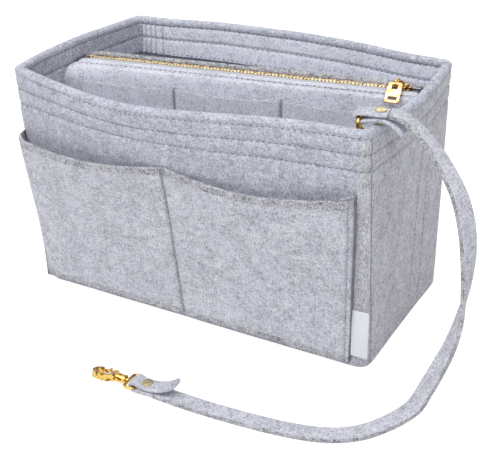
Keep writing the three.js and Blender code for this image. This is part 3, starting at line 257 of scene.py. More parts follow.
class FinishColours(bpy.types.PropertyGroup):
    felt: colour_property("Felt", "Main colour of the felt", 206, 207, 218)
    dark_fibre: colour_property("Dark Fibre", "Colour of the dark fibres in the felt", 122, 124, 138)
    light_fibre: colour_property("Light Fibre", "Colour of the light fibres in the felt", 240, 240, 243)
    # The thread is painted darker than the felt's grey, as painted shade of the needle holes and grooves between
    # its stitches.
    thread: colour_property("Thread", "Colour of the sewing thread", 112, 113, 124)
    tape: colour_property("Zip Tape", "Colour of the woven zip tape", 196, 198, 206)
    label: colour_property("Tag", "Colour of the blank woven tag", 243, 244, 250)
    gold: colour_property("Gold", "Colour of the plated metal", 238, 196, 112)
    pull_gold: colour_property("Pull Gold", "Colour of the zip's pull", 216, 176, 126)
    rivet_gold: colour_property("Rivet Gold", "Colour of the rivets' flat heads", 206, 190, 150)
    tooth_gold: colour_property("Zip Gold", "Colour of the zip's teeth", 252, 238, 200)
    steel: colour_property("Steel", "Colour of the gate springs", 190, 190, 190)


# The colour sockets of a Mix node, which share their names with its other sockets
FIRST_COLOUR, SECOND_COLOUR, MIXED_COLOUR = 6, 7, 2


class Nodes:
    """Places shader nodes in a tree and joins them."""

    def __init__(self, tree):
        self.tree = tree

    def add(self, kind, inputs=None, **settings):
        node = self.tree.nodes.new(kind)
        for name, value in settings.items():
            setattr(node, name, value)
        for name, value in (inputs or {}).items():
            self.feed(node.inputs[name], value)
        return node

    def feed(self, socket, value):
        if isinstance(value, bpy.types.NodeSocket):
            self.tree.links.new(value, socket)
        else:
            socket.default_value = value

    def math(self, operation, first, second=0.0):
        return self.add("ShaderNodeMath", {0: first, 1: second}, operation=operation).outputs[0]

    def times(self, first, second):
        return self.math("MULTIPLY", first, second)

    def plus(self, first, second):
        return self.math("ADD", first, second)

    def clamped(self, value, low, high, to_low=0.0, to_high=1.0):
        inputs = {"Value": value, "From Min": low, "From Max": high, "To Min": to_low, "To Max": to_high}
        return self.add("ShaderNodeMapRange", inputs, interpolation_type="SMOOTHSTEP").outputs["Result"]

    def noise(self, vector, scale, detail=2.0, roughness=0.5, distortion=0.0):
        inputs = {
            "Vector": vector, "Scale": scale, "Detail": detail, "Roughness": roughness, "Distortion": distortion,
        }
        return self.add("ShaderNodeTexNoise", inputs).outputs[0]

    def stretched(self, vector, turn, scale):
        inputs = {"Vector": vector, "Rotation": [math.radians(a) for a in turn], "Scale": scale}
        return self.add("ShaderNodeMapping", inputs).outputs[0]

    def blended(self, share, first, second):
        node = self.add("ShaderNodeMix", data_type="RGBA")
        for socket, value in (("Factor", share), (FIRST_COLOUR, first), (SECOND_COLOUR, second)):
            self.feed(node.inputs[socket], value)
        return node.outputs[MIXED_COLOUR]

    def relief(self, shader, height, strength, distance):
        """Lets a height stand out of the surface, up to a distance in millimetres."""
        inputs = {"Strength": strength, "Distance": distance * MM, "Height": height}
        self.feed(shader.inputs["Normal"], self.add("ShaderNodeBump", inputs).outputs[0])


def node_group(name, numbers, results, fill):
    """The shader node group of that name, filled the first time it is asked for."""
    if name in bpy.data.node_groups:
        return bpy.data.node_groups[name]
    tree = bpy.data.node_groups.new(name, "ShaderNodeTree")
    tree.interface.new_socket("Vector", in_out="INPUT", socket_type="NodeSocketVector")
    for label, default in numbers.items():
        tree.interface.new_socket(label, in_out="INPUT", socket_type="NodeSocketFloat").default_value = default
    for label in results:
        tree.interface.new_socket(label, in_out="OUTPUT", socket_type="NodeSocketFloat")
    nodes = Nodes(tree)
    given, out = nodes.add("NodeGroupInput").outputs, nodes.add("NodeGroupOutput").inputs
    for label, value in zip(results, fill(nodes, given)):
        nodes.feed(out[label], value)
    return tree


def fill_felt_fibres(nodes, given):
    """Pressed wool fibres: short streaks in three directions, cloudy patches and a fuzzy height."""
    inputs = {0: given["Vector"], "Scale": given["Fineness"]}
    place = nodes.add("ShaderNodeVectorMath", inputs, operation="SCALE").outputs[0]
    dark = light = None
    gate = nodes.noise(place, 260, 2.0)
    directions = [
        ((0, 28, 12), (330, 1150, 1000)),
        ((35, 10, 75), (1000, 400, 1250)),
        ((20, -35, 30), (1100, 1050, 330)),
    ]
    for number, (turn, scale) in enumerate(directions):
        streak = nodes.noise(nodes.stretched(place, turn, scale), 1.0, 1.5, 0.6, 0.9)
        patch = nodes.noise(place, 120 + 37 * number, 2.0)
        thin_dark = nodes.times(nodes.clamped(streak, 0.47, 0.35), nodes.clamped(patch, 0.35, 0.62, 0.25, 1.0))
        thin_light = nodes.times(nodes.clamped(streak, 0.55, 0.66), nodes.clamped(patch, 0.62, 0.35, 0.3, 1.0))
        dark = thin_dark if dark is None else nodes.math("MAXIMUM", dark, thin_dark)
        light = thin_light if light is None else nodes.math("MAXIMUM", light, thin_light)
    cloud = nodes.noise(place, 55, 3.0, 0.6)
    fuzz = nodes.noise(place, 1500, 2.0, 0.6)
    swell = nodes.noise(place, 130, 1.0)
    mixed = nodes.plus(nodes.plus(nodes.times(fuzz, 0.3), nodes.times(gate, 0.6)), nodes.times(swell, 1.3))
    height = nodes.plus(mixed, nodes.times(nodes.math("SUBTRACT", light, dark), 0.35))
    return dark, light, cloud, height


def fill_woven_threads(nodes, given):
    """A plain weave of threads crossing at right angles, as a height and a shading mask."""
    parts = nodes.add("ShaderNodeSeparateXYZ", {0: given["Vector"]}).outputs
    warp, weft = (nodes.math("SINE", nodes.times(parts[k], given["Threads"])) for k in range(2))
    weave = nodes.times(warp, weft)
    uneven = nodes.noise(given["Vector"], 700, 1.0)
    return nodes.plus(nodes.times(weave, 0.5), uneven), nodes.clamped(nodes.plus(weave, uneven), -0.6, 1.6)


def fill_rubbed_metal(nodes, given):
    """Handling marks on plated metal, faint smudges and fine scratches. In the metals' colour, the smudges also
    join the painted reflection.
    """
    smudge = nodes.noise(given["Vector"], 260, 3.0, 0.6, 0.4)
    scratch = nodes.noise(nodes.stretched(given["Vector"], (25, 40, 10), (4000, 500, 4000)), 1.0, 2.0)
    return smudge, nodes.plus(scratch, nodes.times(smudge, 0.6))


def new_material(name, roughness, metallic=0.0):
    made = bpy.data.materials.new(name)
    made.use_nodes = True
    nodes = Nodes(made.node_tree)
    shader = next(n for n in made.node_tree.nodes if n.type == "BSDF_PRINCIPLED")
    shader.inputs["Roughness"].default_value = roughness
    shader.inputs["Metallic"].default_value = metallic
    place = nodes.add("ShaderNodeTexCoord").outputs["Object"]
    return made, nodes, shader, place


def tinted(colour, shares):
    return [part * share for part, share in zip(colour, shares)]


def four(colour, share=1.0):
    """A colour darkened to a share, with the fourth number that a colour socket takes."""
    return (*(part * share for part in colour), 1.0)


def make_felt(
    name, colours, stretch=(1, 1, 1), fineness=1.0, dark=0.75, light=0.7, rough=0.35, tint=(1, 1, 1),
    dark_part=1.0,
):
    made, nodes, shader, place = new_material(name, 0.95)
    shader.inputs["Sheen Weight"].default_value = 0.08
    shader.inputs["Sheen Roughness"].default_value = 0.5
    shader.inputs["Specular IOR Level"].default_value = 0.2
    tree = node_group(
        "Felt Fibres", {"Fineness": 1.0}, ["Dark Fibres", "Light Fibres", "Cloud", "Height"], fill_felt_fibres,
    )
    inputs = {"Vector": nodes.stretched(place, (0, 0, 0), stretch), "Fineness": fineness}
    fibres = nodes.add("ShaderNodeGroup", inputs, node_tree=tree).outputs
    # tint scales the felt's colour. For the cut edge it gives the edge's own darker tone. For the wall, inner, end
    # facing and upright finishes it paints light or shade onto the piece.
    main = tinted(colours.felt, tint)
    colour = nodes.blended(nodes.clamped(fibres["Cloud"], 0.32, 0.62), four(main, 0.87), four(main))
    colour = nodes.blended(nodes.times(fibres["Dark Fibres"], dark), colour, four(colours.dark_fibre, dark_part))
    colour = nodes.blended(nodes.times(fibres["Light Fibres"], light), colour, four(colours.light_fibre))
    # Painted shade in the creases of seams and at the pockets' turned-in ends, read from the crease attribute. It
    # blends to a very dark share of the dark fibre colour, and it also stands for the pressed felt's darker colour
    # there.
    crease = nodes.add("ShaderNodeAttribute", attribute_name="crease").outputs["Fac"]
    colour = nodes.blended(crease, colour, four(colours.dark_fibre, 0.18))
    nodes.feed(shader.inputs["Base Color"], colour)
    nodes.relief(shader, fibres["Height"], rough, 0.5)
    return made


def make_thread(name, colours):
    made, nodes, shader, place = new_material(name, 0.7)
    twist = nodes.noise(nodes.stretched(place, (0, 40, 30), (5000, 1500, 5000)), 1.0, 1.0)
    # colours.thread is darkened as painted shade of the needle holes. The twist pattern is the thread's own.
    colour = nodes.blended(twist, four(colours.thread, 0.62), four(colours.thread))
    nodes.feed(shader.inputs["Base Color"], colour)
    nodes.relief(shader, twist, 0.5, 0.1)
    return made


def make_woven(name, colour, threads, strength, turn=(0, 0, 0)):
    made, nodes, shader, place = new_material(name, 0.8)
    shader.inputs["Sheen Weight"].default_value = 0.1
    tree = node_group("Woven Threads", {"Threads": 3000.0}, ["Height", "Shade"], fill_woven_threads)
    inputs = {"Vector": nodes.stretched(place, turn, (1, 1, 1)), "Threads": threads}
    weave = nodes.add("ShaderNodeGroup", inputs, node_tree=tree).outputs
    nodes.feed(shader.inputs["Base Color"], nodes.blended(weave["Shade"], four(colour, 0.8), four(colour)))
    nodes.relief(shader, weave["Height"], strength, 0.15)
    return made


def make_metal(name, colour, roughness, smudge_and_painted_reflection_share=(0.27, 0.19, 0.1)):
    made, nodes, shader, place = new_material(name, roughness, 1.0)
    tree = node_group("Rubbed Metal", {}, ["Smudge", "Height"], fill_rubbed_metal)
    rubbed = nodes.add("ShaderNodeGroup", {"Vector": place}, node_tree=tree).outputs
    # Painted reflection: 3 mm patches mix a darker bronze into the metal's colour, standing in for dark
    # surroundings mirrored in the polished metal. The smudges, which also roughen the metal, darken the colour in
    # the same way.
    smudge = rubbed["Smudge"]
    painted_reflection = nodes.noise(place, 330, 1.0)
    shade = nodes.math("MAXIMUM", nodes.clamped(smudge, 0.52, 0.75), nodes.clamped(painted_reflection, 0.5, 0.57))
    nodes.feed(shader.inputs["Base Color"], nodes.blended(shade, four(colour), four(tinted(colour, smudge_and_painted_reflection_share))))
    nodes.feed(shader.inputs["Roughness"], nodes.clamped(smudge, 0.3, 0.8, roughness * 0.7, roughness * 1.5))
    nodes.relief(shader, rubbed["Height"], 0.08, 0.05)
    return made


def finish(name):
    """The material of that name, made the first time it is asked for."""
    if name in bpy.data.materials:
        return bpy.data.materials[name]
    colours = bpy.context.scene.organizer_colours
    makers = {
        "pressed_felt": lambda: make_felt(name, colours),
        # The next four finishes are the same felt as pressed_felt, scaled lighter or darker as painted light or
        # shade. They are darker for the outer front and back walls and the rim fold, lighter inside for the front
        # and back facings and the pouch, and darker for the end facings and the end walls. The end walls' stretch
        # gives their fibres an upright run.
        "wall_felt_painted_shade": lambda: make_felt(name, colours, tint=(0.89, 0.91, 0.95)),
        "inner_felt_painted_light": lambda: make_felt(name, colours, dark=0.6, tint=(1.37, 1.38, 1.38)),
        "end_facing_felt_painted_shade": lambda: make_felt(name, colours, tint=(0.8, 0.81, 0.85)),
        "upright_felt_painted_shade": lambda: make_felt(name, colours, stretch=(1.1, 1.1, 0.7), tint=(0.92, 0.9, 0.88)),
        "cut_felt_edge": lambda: make_felt(
            name, colours, fineness=1.15, dark=0.9, light=0.85, rough=0.9, tint=(0.9, 0.89, 0.86),
            dark_part=0.42,
        ),
        "sewing_thread": lambda: make_thread(name, colours),
        "zip_tape_weave": lambda: make_woven(name, colours.tape, 5200, 0.5),
        "blank_tag_weave": lambda: make_woven(name, colours.label, 6500, 0.25, (90, 0, 0)),
        # The last numbers of each metal are the share of its colour kept in the smudges and the painted dark
        # reflections.
        "polished_gold": lambda: make_metal(name, colours.gold, 0.16),
        "pull_gold": lambda: make_metal(name, colours.pull_gold, 0.3, (0.6, 0.5, 0.42)),
        "rivet_gold": lambda: make_metal(name, colours.rivet_gold, 0.4, (0.8, 0.78, 0.72)),
        "pale_gold": lambda: make_metal(name, colours.tooth_gold, 0.22, (0.8, 0.72, 0.55)),
        # The back row of teeth: a darker copy of the teeth's gold, painted shade as if shaded by the front row.
        "back_teeth_painted_shade_gold": lambda: make_metal(name, tinted(colours.tooth_gold, (0.6, 0.5, 0.4)), 0.3),
        "spring_steel": lambda: make_metal(name, colours.steel, 0.3, (0.8, 0.8, 0.8)),
    }
    return makers[name]()


def choose(piece):
    """Makes one piece active, and the only one selected."""
    bpy.ops.object.select_all(action="DESELECT")
    bpy.context.view_layer.objects.active = piece
    piece.select_set(True)


@contextmanager
def editing(piece, mode="VERT"):
    """Opens one piece in edit mode with nothing else selected."""
    choose(piece)
    bpy.ops.object.mode_set(mode="EDIT")
    bpy.ops.mesh.select_mode(type=mode)
    yield bmesh.from_edit_mesh(piece.data)
    bpy.ops.object.mode_set(mode="OBJECT")
    piece.select_set(False)


def pick(mesh, piece, items, chosen):
    """Selects only the chosen vertices, edges or faces of an open mesh."""
    for kind in (mesh.verts, mesh.edges, mesh.faces):
        for item in kind:
            item.select = False
    for item in items:
        if chosen(item):
            item.select = True
    mesh.select_flush_mode()
    bmesh.update_edit_mesh(piece.data)


def apply_modifier(piece, kind, **settings):
    choose(piece)
    modifier = piece.modifiers.new(kind.title(), kind)
    for name, value in settings.items():
        setattr(modifier, name, value)
    bpy.ops.object.modifier_apply(modifier=modifier.name)
    piece.select_set(False)


def smooth(piece, angle=None):
    choose(piece)
    if angle is None:
        bpy.ops.object.shade_smooth()
    else:
        bpy.ops.object.shade_smooth_by_angle(angle=math.radians(angle))
    piece.select_set(False)


def copy_of(node, piece_name, finishes):
    """A piece that starts as a copy of a CAD node, welded and turned to quads, and stands for it."""
    mesh = NODES[node].data.copy()
    mesh.name = piece_name
    piece = bpy.data.objects.new(piece_name, mesh)
    bpy.context.scene.collection.objects.link(piece)
    mesh.materials.clear()
    for name in finishes:
        mesh.materials.append(finish(name))
    choose(piece)
    bpy.ops.mesh.customdata_custom_splitnormals_clear()
    with editing(piece):
        bpy.ops.mesh.select_all(action="SELECT")
        bpy.ops.mesh.remove_doubles(threshold=0.001 * MM)
        bpy.ops.mesh.tris_convert_to_quads(face_threshold=math.radians(40), shape_threshold=math.radians(60))
    for face in mesh.polygons:
        face.material_index = 0
    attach(piece, NODES[node]["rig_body"])
    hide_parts(node)
    return piece


def new_piece(name, points, faces, finish_name):
    mesh = bpy.data.meshes.new(name)
    mesh.from_pydata([tuple(p) for p in points], [], faces)
    mesh.materials.append(finish(finish_name))
    piece = bpy.data.objects.new(name, mesh)
    bpy.context.scene.collection.objects.link(piece)
    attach(piece, "organizer")
    return piece


def skin(rings, sides, closed=False):
    """Faces over rings of points, each with the same number of sides. A closed skin ends where it starts."""
    faces = []
    for ring in range(rings if closed else rings - 1):
        low, high = ring * sides, (ring + 1) % rings * sides
        for k in range(sides):
            after = (k + 1) % sides
            faces.append((low + k, low + after, high + after, high + k))
    return faces


def turn_outwards(piece):
    with editing(piece):
        bpy.ops.mesh.select_all(action="SELECT")
        bpy.ops.mesh.normals_make_consistent(inside=False)


def mark_cut_faces(piece, sharp_angle):
    """Gives the thin faces round a sheet, which lie between two sharp edges, the second material."""
    mesh = bmesh.new()
    mesh.from_mesh(piece.data)
    for face in mesh.faces:
        sharp = [edge for edge in face.edges if edge.calc_face_angle(0) > sharp_angle]
        pairs = [(a, b) for a in sharp for b in sharp if a != b and not set(a.verts) & set(b.verts)]
        if pairs and min(edge.calc_length() for edge in face.edges) < 1.3 * FELT_THICKNESS:
            face.material_index = 1
    mesh.to_mesh(piece.data)
    mesh.free()


def at_wall_joint(point):
    """Whether a point lies where a front or back wall butts against an end wall."""
    return abs(abs(point.x) - WALL_JOINT_X) < 0.45 * MM and abs(point.y) > WALL_JOINT_Y


def round_edges(piece, rounding, segments=2, angle=50, finish_number=-1):
    limit = math.radians(angle)
    with editing(piece, "EDGE") as mesh:
        crease = mesh.edges.layers.float.new("crease_edge")
        for edge in mesh.edges:
            if edge.calc_face_angle(0) > limit and all(at_wall_joint(v.co) for v in edge.verts):
                edge[crease] = 1.0
                edge.smooth = False
        pick(
            mesh, piece, mesh.edges,
            lambda edge: edge.calc_face_angle(0) > limit and not all(at_wall_joint(v.co) for v in edge.verts),
        )
        bpy.ops.mesh.bevel(
            offset=rounding, segments=segments, affect="EDGES", profile=0.5, clamp_overlap=True,
            material=finish_number,
        )


def share_off(seam, across, point):
    """How far a point lies from a seam's plane, as a share of the seam's half width."""
    return abs((point - seam.place).dot(across)) / seam.width


def press_seam(piece, seam):
    """Presses the channel of a sewn seam into a sheet, along the seam's plane."""
    across = Vector(seam.across).normalized()
    with editing(piece) as mesh:
        for offset in (-seam.width, -seam.width / 3, 0, seam.width / 3, seam.width):
            mesh = bmesh.from_edit_mesh(piece.data)
            pick(mesh, piece, mesh.faces, lambda face: any(seam.inside(v.co) for v in face.verts))
            bpy.ops.mesh.bisect(plane_co=seam.place + across * offset, plane_no=across)
        mesh = bmesh.from_edit_mesh(piece.data)
        mesh.normal_update()
        moves = []
        for vertex in mesh.verts:
            away = share_off(seam, across, vertex.co)
            shown = seam.side is None or vertex.normal.dot(seam.side) > 0.2
            if away < 0.9 and shown and seam.inside(vertex.co):
                inward = vertex.normal.copy()
                if at_wall_joint(vertex.co):
                    inward.x = 0
                moves.append((vertex, inward.normalized() * seam.depth * (1 - away ** 1.5)))
        for vertex, move in moves:
            vertex.co -= move
        bmesh.update_edit_mesh(piece.data)


def paint_crease_shade(piece, seams):
    """Records how far down in a crease each point of a sheet lies, for the shade that the felt's colour paints into
    its creases.
    """
    values = np.zeros(len(piece.data.vertices), np.float32)
    if "fold" in piece.data.attributes:
        piece.data.attributes["fold"].data.foreach_get("value", values)
    for seam in seams:
        across = Vector(seam.across).normalized()
        for vertex in piece.data.vertices:
            away = share_off(seam, across, vertex.co)
            if away < 1 and seam.inside(vertex.co):
                if seam.side is None or vertex.normal.dot(seam.side) > 0.1:
                    values[vertex.index] = max(values[vertex.index], seam.shade * (1 - away) ** 1.3)
    piece.data.attributes.new("crease", "FLOAT", "POINT").data.foreach_set("value", values)


def distance_to_line(point, start, end):
    along = end - start
    share = max(0.0, min(1.0, (point - start).dot(along) / along.length_squared))
    return (point - start - along * share).length


def ramp(value, low, high):
    """0 below low, 1 above high, and smooth between them."""
    share = max(0.0, min(1.0, (value - low) / (high - low)))
    return share * share * (3 - 2 * share)


def slump(point):
    """How the filled body stands off its drawn shape: the front left corner leans out, the front rim sags."""
    corner = math.hypot(point.x - LEFT_CORNER[0], point.y - LEFT_CORNER[1])
    lean = -CORNER_LEAN * ramp(point.z, 0, LEAN_FULL_HEIGHT) * (1 - ramp(corner, 0, CORNER_LEAN_REACH))
    reach = SAG_REACH_LEFT if point.x < SAG_LOWEST_X else SAG_REACH_RIGHT
    off_middle = (point.x - SAG_LOWEST_X) / reach
    sag = -FRONT_SAG * (1 - ramp(abs(off_middle), 0, 1)) * ramp(-point.y, 30 * MM, 58 * MM)
    lift = BACK_LIFT * ramp(point.y, 30 * MM, 60 * MM) * (1 - ramp(abs(point.x) / LIFT_REACH, 0.4, 1))
    return Vector((lean, 0, (sag + lift) * ramp(point.z, 112 * MM, 160 * MM)))


def wander(point, waviness):
    """The slow unevenness of hand-sewn felt at a place. It fades out round the zip and the leash's rivet."""
    chain = distance_to_line(point, CHAIN_START, CHAIN_START + CHAIN_ALONG * CHAIN_LENGTH)
    calm = min((chain - 8 * MM) / (26 * MM), ((point - NEAR_RIVET).length - 10 * MM) / (35 * MM), 1.0)
    if calm <= 0:
        return Vector((0, 0, 0))
    slow = noise.noise_vector(point / (75 * MM))
    quick = noise.noise_vector(point / (27 * MM) + Vector((7, 3, 5)))
    move = (slow + quick * 0.35) * waviness
    move.z *= 0.5 * min(max(point.z / (20 * MM), 0.0), 1.0)
    return (move + slump(point)) * calm


def settle(piece):
    """Lets a finished felt piece, or what is sewn to it, take the felt's unevenness."""
    noise.seed_set(UNEVENNESS_SEED)
    waviness = bpy.context.scene.organizer_felt.waviness
    for vertex in piece.data.vertices:
        vertex.co += wander(vertex.co, waviness)


def felt_sheet(
    node, piece_name, finish_name="pressed_felt", seams=(), levels=None, trim=None, shape=None, edge_finish=-1,
):
    """A felt sheet from its CAD solid, with its seams, worn cut edges and smooth bends."""
    sizes = bpy.context.scene.organizer_felt
    piece = copy_of(node, piece_name, [finish_name, "cut_felt_edge"])
    mark_cut_faces(piece, math.radians(50))
    if trim is not None:
        for vertex in piece.data.vertices:
            vertex.co.z = min(vertex.co.z, trim)
            if abs(vertex.co.x) > WALL_END_X and node in ("front_wall", "back_wall"):
                vertex.co.x = math.copysign(WALL_JOINT_X, vertex.co.x)
    if shape is not None:
        shape(piece)
    for seam in seams:
        press_seam(piece, seam)
    round_edges(piece, sizes.edge_rounding, finish_number=edge_finish)
    apply_modifier(piece, "SUBSURF", levels=sizes.smoothing_levels if levels is None else levels)
    smooth(piece)
    paint_crease_shade(piece, seams)
    return piece


def surface_of(pieces):
    """One search tree over several pieces."""
    points, faces = [], []
    for piece in pieces:
        start = len(points)
        points.extend(v.co.copy() for v in piece.data.vertices)
        faces.extend([start + i for i in face.vertices] for face in piece.data.polygons)
    return BVHTree.FromPolygons(points, faces)


def at_length(distance, lengths, grid):
    """The row of a grid, whose rows lie at the given lengths, at a distance between them."""
    return [float(np.interp(distance, lengths, grid[:, column])) for column in range(grid.shape[1])]


def wall_outline(height):
    """Points round the outer faces of the four walls at one height, with their outward directions."""
    walls = surface_of([NODES[name] for name in WALL_NODES])
    middle = Vector((0, 0, height))
    found = []
    for number in range(OUTLINE_RAYS):
        turn = 2 * math.pi * number / OUTLINE_RAYS
        out = Vector((math.cos(turn) * LENGTH_TO_DEPTH, math.sin(turn), 0)).normalized()
        hit = walls.ray_cast(middle + out * 0.4, -out)[0]
        if hit is not None and (not found or (hit - found[-1]).length < 6 * MM):
            found.append(hit)
    around = found + found[:1]
    lengths = np.cumsum([0.0] + [(b - a).length for a, b in zip(around, around[1:])])
    steps = int(lengths[-1] / OUTLINE_STEP)
    grid = np.array([list(p) for p in around])
    even = [Vector(at_length(lengths[-1] * k / steps, lengths, grid)) for k in range(steps)]
    outline = []
    for k, point in enumerate(even):
        along = even[(k + 2) % steps] - even[k - 2]
        outline.append((point, Vector((along.y, -along.x, 0)).normalized()))
    return outline


def taken_apart(model):
    """The points and faces of a model that is only there to be copied."""
    points = [v.co.copy() for v in model.data.vertices]
    faces = [list(face.vertices) for face in model.data.polygons]
    bpy.data.objects.remove(model)
    return points, faces


def thread_stitch():
    """One stitch of thread lying along x, dipping into the cloth at both ends."""
    sizes = bpy.context.scene.organizer_felt
    bpy.ops.object.select_all(action="DESELECT")
    bpy.ops.mesh.primitive_uv_sphere_add(segments=6, ring_count=6, radius=1, rotation=(0, math.pi / 2, 0))
    stitch = bpy.context.active_object
    bpy.ops.object.transform_apply(location=False, rotation=True, scale=False)
    with editing(stitch) as mesh:
        bpy.ops.mesh.select_all(action="SELECT")
        half = sizes.thread_width / 2
        bpy.ops.transform.resize(value=(sizes.stitch_length / 2, half, half * 0.9))
        pick(mesh, stitch, mesh.verts, lambda v: abs(v.co.x) > 0.8 * sizes.stitch_length / 2)
        bpy.ops.transform.translate(value=(0, 0, -half * 0.7))
    return taken_apart(stitch)


def stitches_along(lines, pitch, shape, seed):
    """Copies one stitch along lines of (place, cloth normal)."""
    points, faces = shape
    sway = random.Random(seed)
    grid = np.array([list(p) for p in points])
    all_points, all_faces = [], []
    for line in lines:
        places = np.array([list(p) for p, normal in line])
        normals = np.array([list(normal) for p, normal in line])
        lengths = np.concatenate([[0], np.cumsum(np.linalg.norm(np.diff(places, axis=0), axis=1))])
        for number in range(int(lengths[-1] / pitch)):
            at = (number + 0.5) * pitch
            here, ahead, behind = (
                np.array(at_length(distance, lengths, places))
                for distance in (at, min(at + pitch * 0.4, lengths[-1]), max(at - pitch * 0.4, 0))
            )
            up = Vector(at_length(at, lengths, normals)).normalized()
            along = Vector(ahead - behind)
            along = (along - up * along.dot(up)).normalized()
            turn = Matrix.Rotation(math.radians(sway.uniform(-9, 9)), 3, up)
            along = turn @ along
            across = up.cross(along)
            size = sway.uniform(0.75, 1.15)
            basis = np.array([list(along * size), list(across), list(up * sway.uniform(0.7, 1.1))])
            start = len(all_points)
            all_points.extend((grid @ basis + here).tolist())
            all_faces.extend([start + i for i in face] for face in faces)
    return all_points, all_faces


def sew(piece_name, lines, seed, settled=True):
    sizes = bpy.context.scene.organizer_felt
    points, faces = stitches_along(lines, sizes.stitch_pitch, thread_stitch(), seed)
    piece = new_piece(piece_name, points, faces, "sewing_thread")
    smooth(piece)
    if settled:
        settle(piece)
    return piece


def cast_line(cloth, starts, aim, reach=40 * MM):
    """Where rays from the starts meet the cloth, as a line of (place, normal)."""
    line = []
    for number, start in enumerate(starts):
        direction = aim[number] if isinstance(aim, list) else aim
        place, normal, index, distance = cloth.ray_cast(start, direction)
        if place is not None and distance < reach:
            line.append((place, normal))
    return line


def between(start, end):
    count = max(2, int((end - start).length / LINE_STEP))
    return [start.lerp(end, k / count) for k in range(count + 1)]


def make_camera():
    bpy.ops.object.camera_add()
    camera = bpy.context.active_object
    camera.name = "photo_camera"
    turn, rise, roll = (math.radians(angle) for angle in CAMERA_ANGLES)
    back = Vector((math.sin(turn) * math.cos(rise), -math.cos(turn) * math.cos(rise), math.sin(rise)))
    right = Vector((math.cos(turn), math.sin(turn), 0))
    up = back.cross(right)
    rolled_right = right * math.cos(roll) + up * math.sin(roll)
    rolled_up = up * math.cos(roll) - right * math.sin(roll)
    place = CAMERA_TARGET + back * CAMERA_DISTANCE
    rows = [[column[k] for column in (rolled_right, rolled_up, back, place)] for k in range(3)]
    camera.matrix_world = Matrix((*rows, (0, 0, 0, 1)))
    camera.data.lens = CAMERA_LENS
    camera.data.sensor_width = 36
    camera.data.clip_start, camera.data.clip_end = 0.01, 50
    bpy.context.scene.camera = camera


def spline_points(places, count):
    """Even steps along a centripetal Catmull-Rom curve, each with its place on the list of places."""
    ends = [places[0] * 2 - places[1], *places, places[-1] * 2 - places[-2]]
    fine = []
    for index in range(len(places) - 1):
        p = ends[index:index + 4]
        knots = [0.0]
        for a, b in zip(p, p[1:]):
            knots.append(knots[-1] + (b - a).length ** 0.5)
        for step in range(40):
            t = knots[1] + (knots[2] - knots[1]) * step / 40

            def mix(a, b, low, high):
                return a * ((high - t) / (high - low)) + b * ((t - low) / (high - low))

            a1, a2, a3 = (mix(p[k], p[k + 1], knots[k], knots[k + 1]) for k in range(3))
            b1, b2 = mix(a1, a2, knots[0], knots[2]), mix(a2, a3, knots[1], knots[3])
            fine.append((mix(b1, b2, knots[1], knots[2]), index + step / 40))
    fine.append((places[-1], float(len(places) - 1)))
    lengths = np.concatenate([[0], np.cumsum([(b[0] - a[0]).length for a, b in zip(fine, fine[1:])])])
    grid = np.array([[*p, share] for p, share in fine])
    even = [at_length(lengths[-1] * k / count, lengths, grid) for k in range(count + 1)]
    return [(Vector(row[:3]), row[3]) for row in even], float(lengths[-1])


def strap_section():
    """Half-round edged cross-section of the strap: (across, out) pairs going round it."""
    flat_width, flat_felt = STRAP_WIDTH / 2 - STRAP_ROUNDING, FELT_THICKNESS / 2 - STRAP_ROUNDING
    section = []
    for side_w, side_n, start in ((1, 1, 0), (-1, 1, 90), (-1, -1, 180), (1, -1, 270)):
        for step in range(3):
            angle = math.radians(start + 45 * step)
            section.append((
                side_w * flat_width + STRAP_ROUNDING * math.cos(angle),
                side_n * flat_felt + STRAP_ROUNDING * math.sin(angle),
            ))
        following = (-side_w, side_n) if side_w == side_n else (side_w, -side_n)
        if following[1] == side_n:
            for share in (0.25, 0.5, 0.75):
                section.append((side_w * flat_width * (1 - 2 * share), side_n * FELT_THICKNESS / 2))
    return section


def strap_frames(count):
    """Places along the strap with their directions along, across and out of it."""
    route = [millimetres(*row[:3]) for row in STRAP_ROUTE]
    even, length = spline_points(route, count)
    frames = []
    for k, (place, share) in enumerate(even):
        along = (even[min(k + 1, count)][0] - even[max(k - 1, 0)][0]).normalized()
        before = min(int(share), len(STRAP_ROUTE) - 2)
        degrees = STRAP_ROUTE[before][3]
        degrees += (STRAP_ROUTE[before + 1][3] - degrees) * (share - before)
        across = Vector((math.cos(math.radians(degrees)), math.sin(math.radians(degrees)), 0))
        across = (across - along * across.dot(along)).normalized()
        frames.append((place, along, across, along.cross(across)))
    return frames, length


def make_strap():
    frames, length = strap_frames(STRAP_STEPS)
    section = strap_section()
    points = []
    for place, along, across, out in frames:
        for w, n in section:
            fray = noise.noise((place + across * w) / (2.2 * MM)) * 0.12 * MM if abs(w) > 0.45 * STRAP_WIDTH else 0
            points.append(place + across * (w + math.copysign(1, w) * fray) + out * n)
    sides = len(section)
    faces = skin(len(frames), sides)
    faces.append(tuple(range(sides))[::-1])
    faces.append(tuple(range((len(frames) - 1) * sides, len(frames) * sides)))
    strap = new_piece("felt_leash", points, faces, "pressed_felt")
    strap.data.materials.append(finish("cut_felt_edge"))
    turn_outwards(strap)
    for face in strap.data.polygons:
        middle = [abs(section[i % sides][0]) for i in face.vertices]
        if len(middle) == 4 and min(middle) > STRAP_WIDTH / 2 - 1 * MM:
            face.material_index = 1
    smooth(strap)
    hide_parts("leash_strap")
    path = [frame_[0] for frame_ in frames]
    return strap, path, length


def rim_seams(rows):
    """The level seams round the rim. The top one is pressed half as deep, and the painted shade in its crease is
    paler.
    """
    sizes = bpy.context.scene.organizer_felt
    seams = []
    for height in rows:
        depth, shade = (sizes.groove_depth * 0.5, 0.05) if height == RIM_ROWS[0] else (sizes.groove_depth, 0.14)
        seams.append(Seam(Vector((0, 0, height)), (0, 0, 1), sizes.groove_width, depth, shade))
    return seams


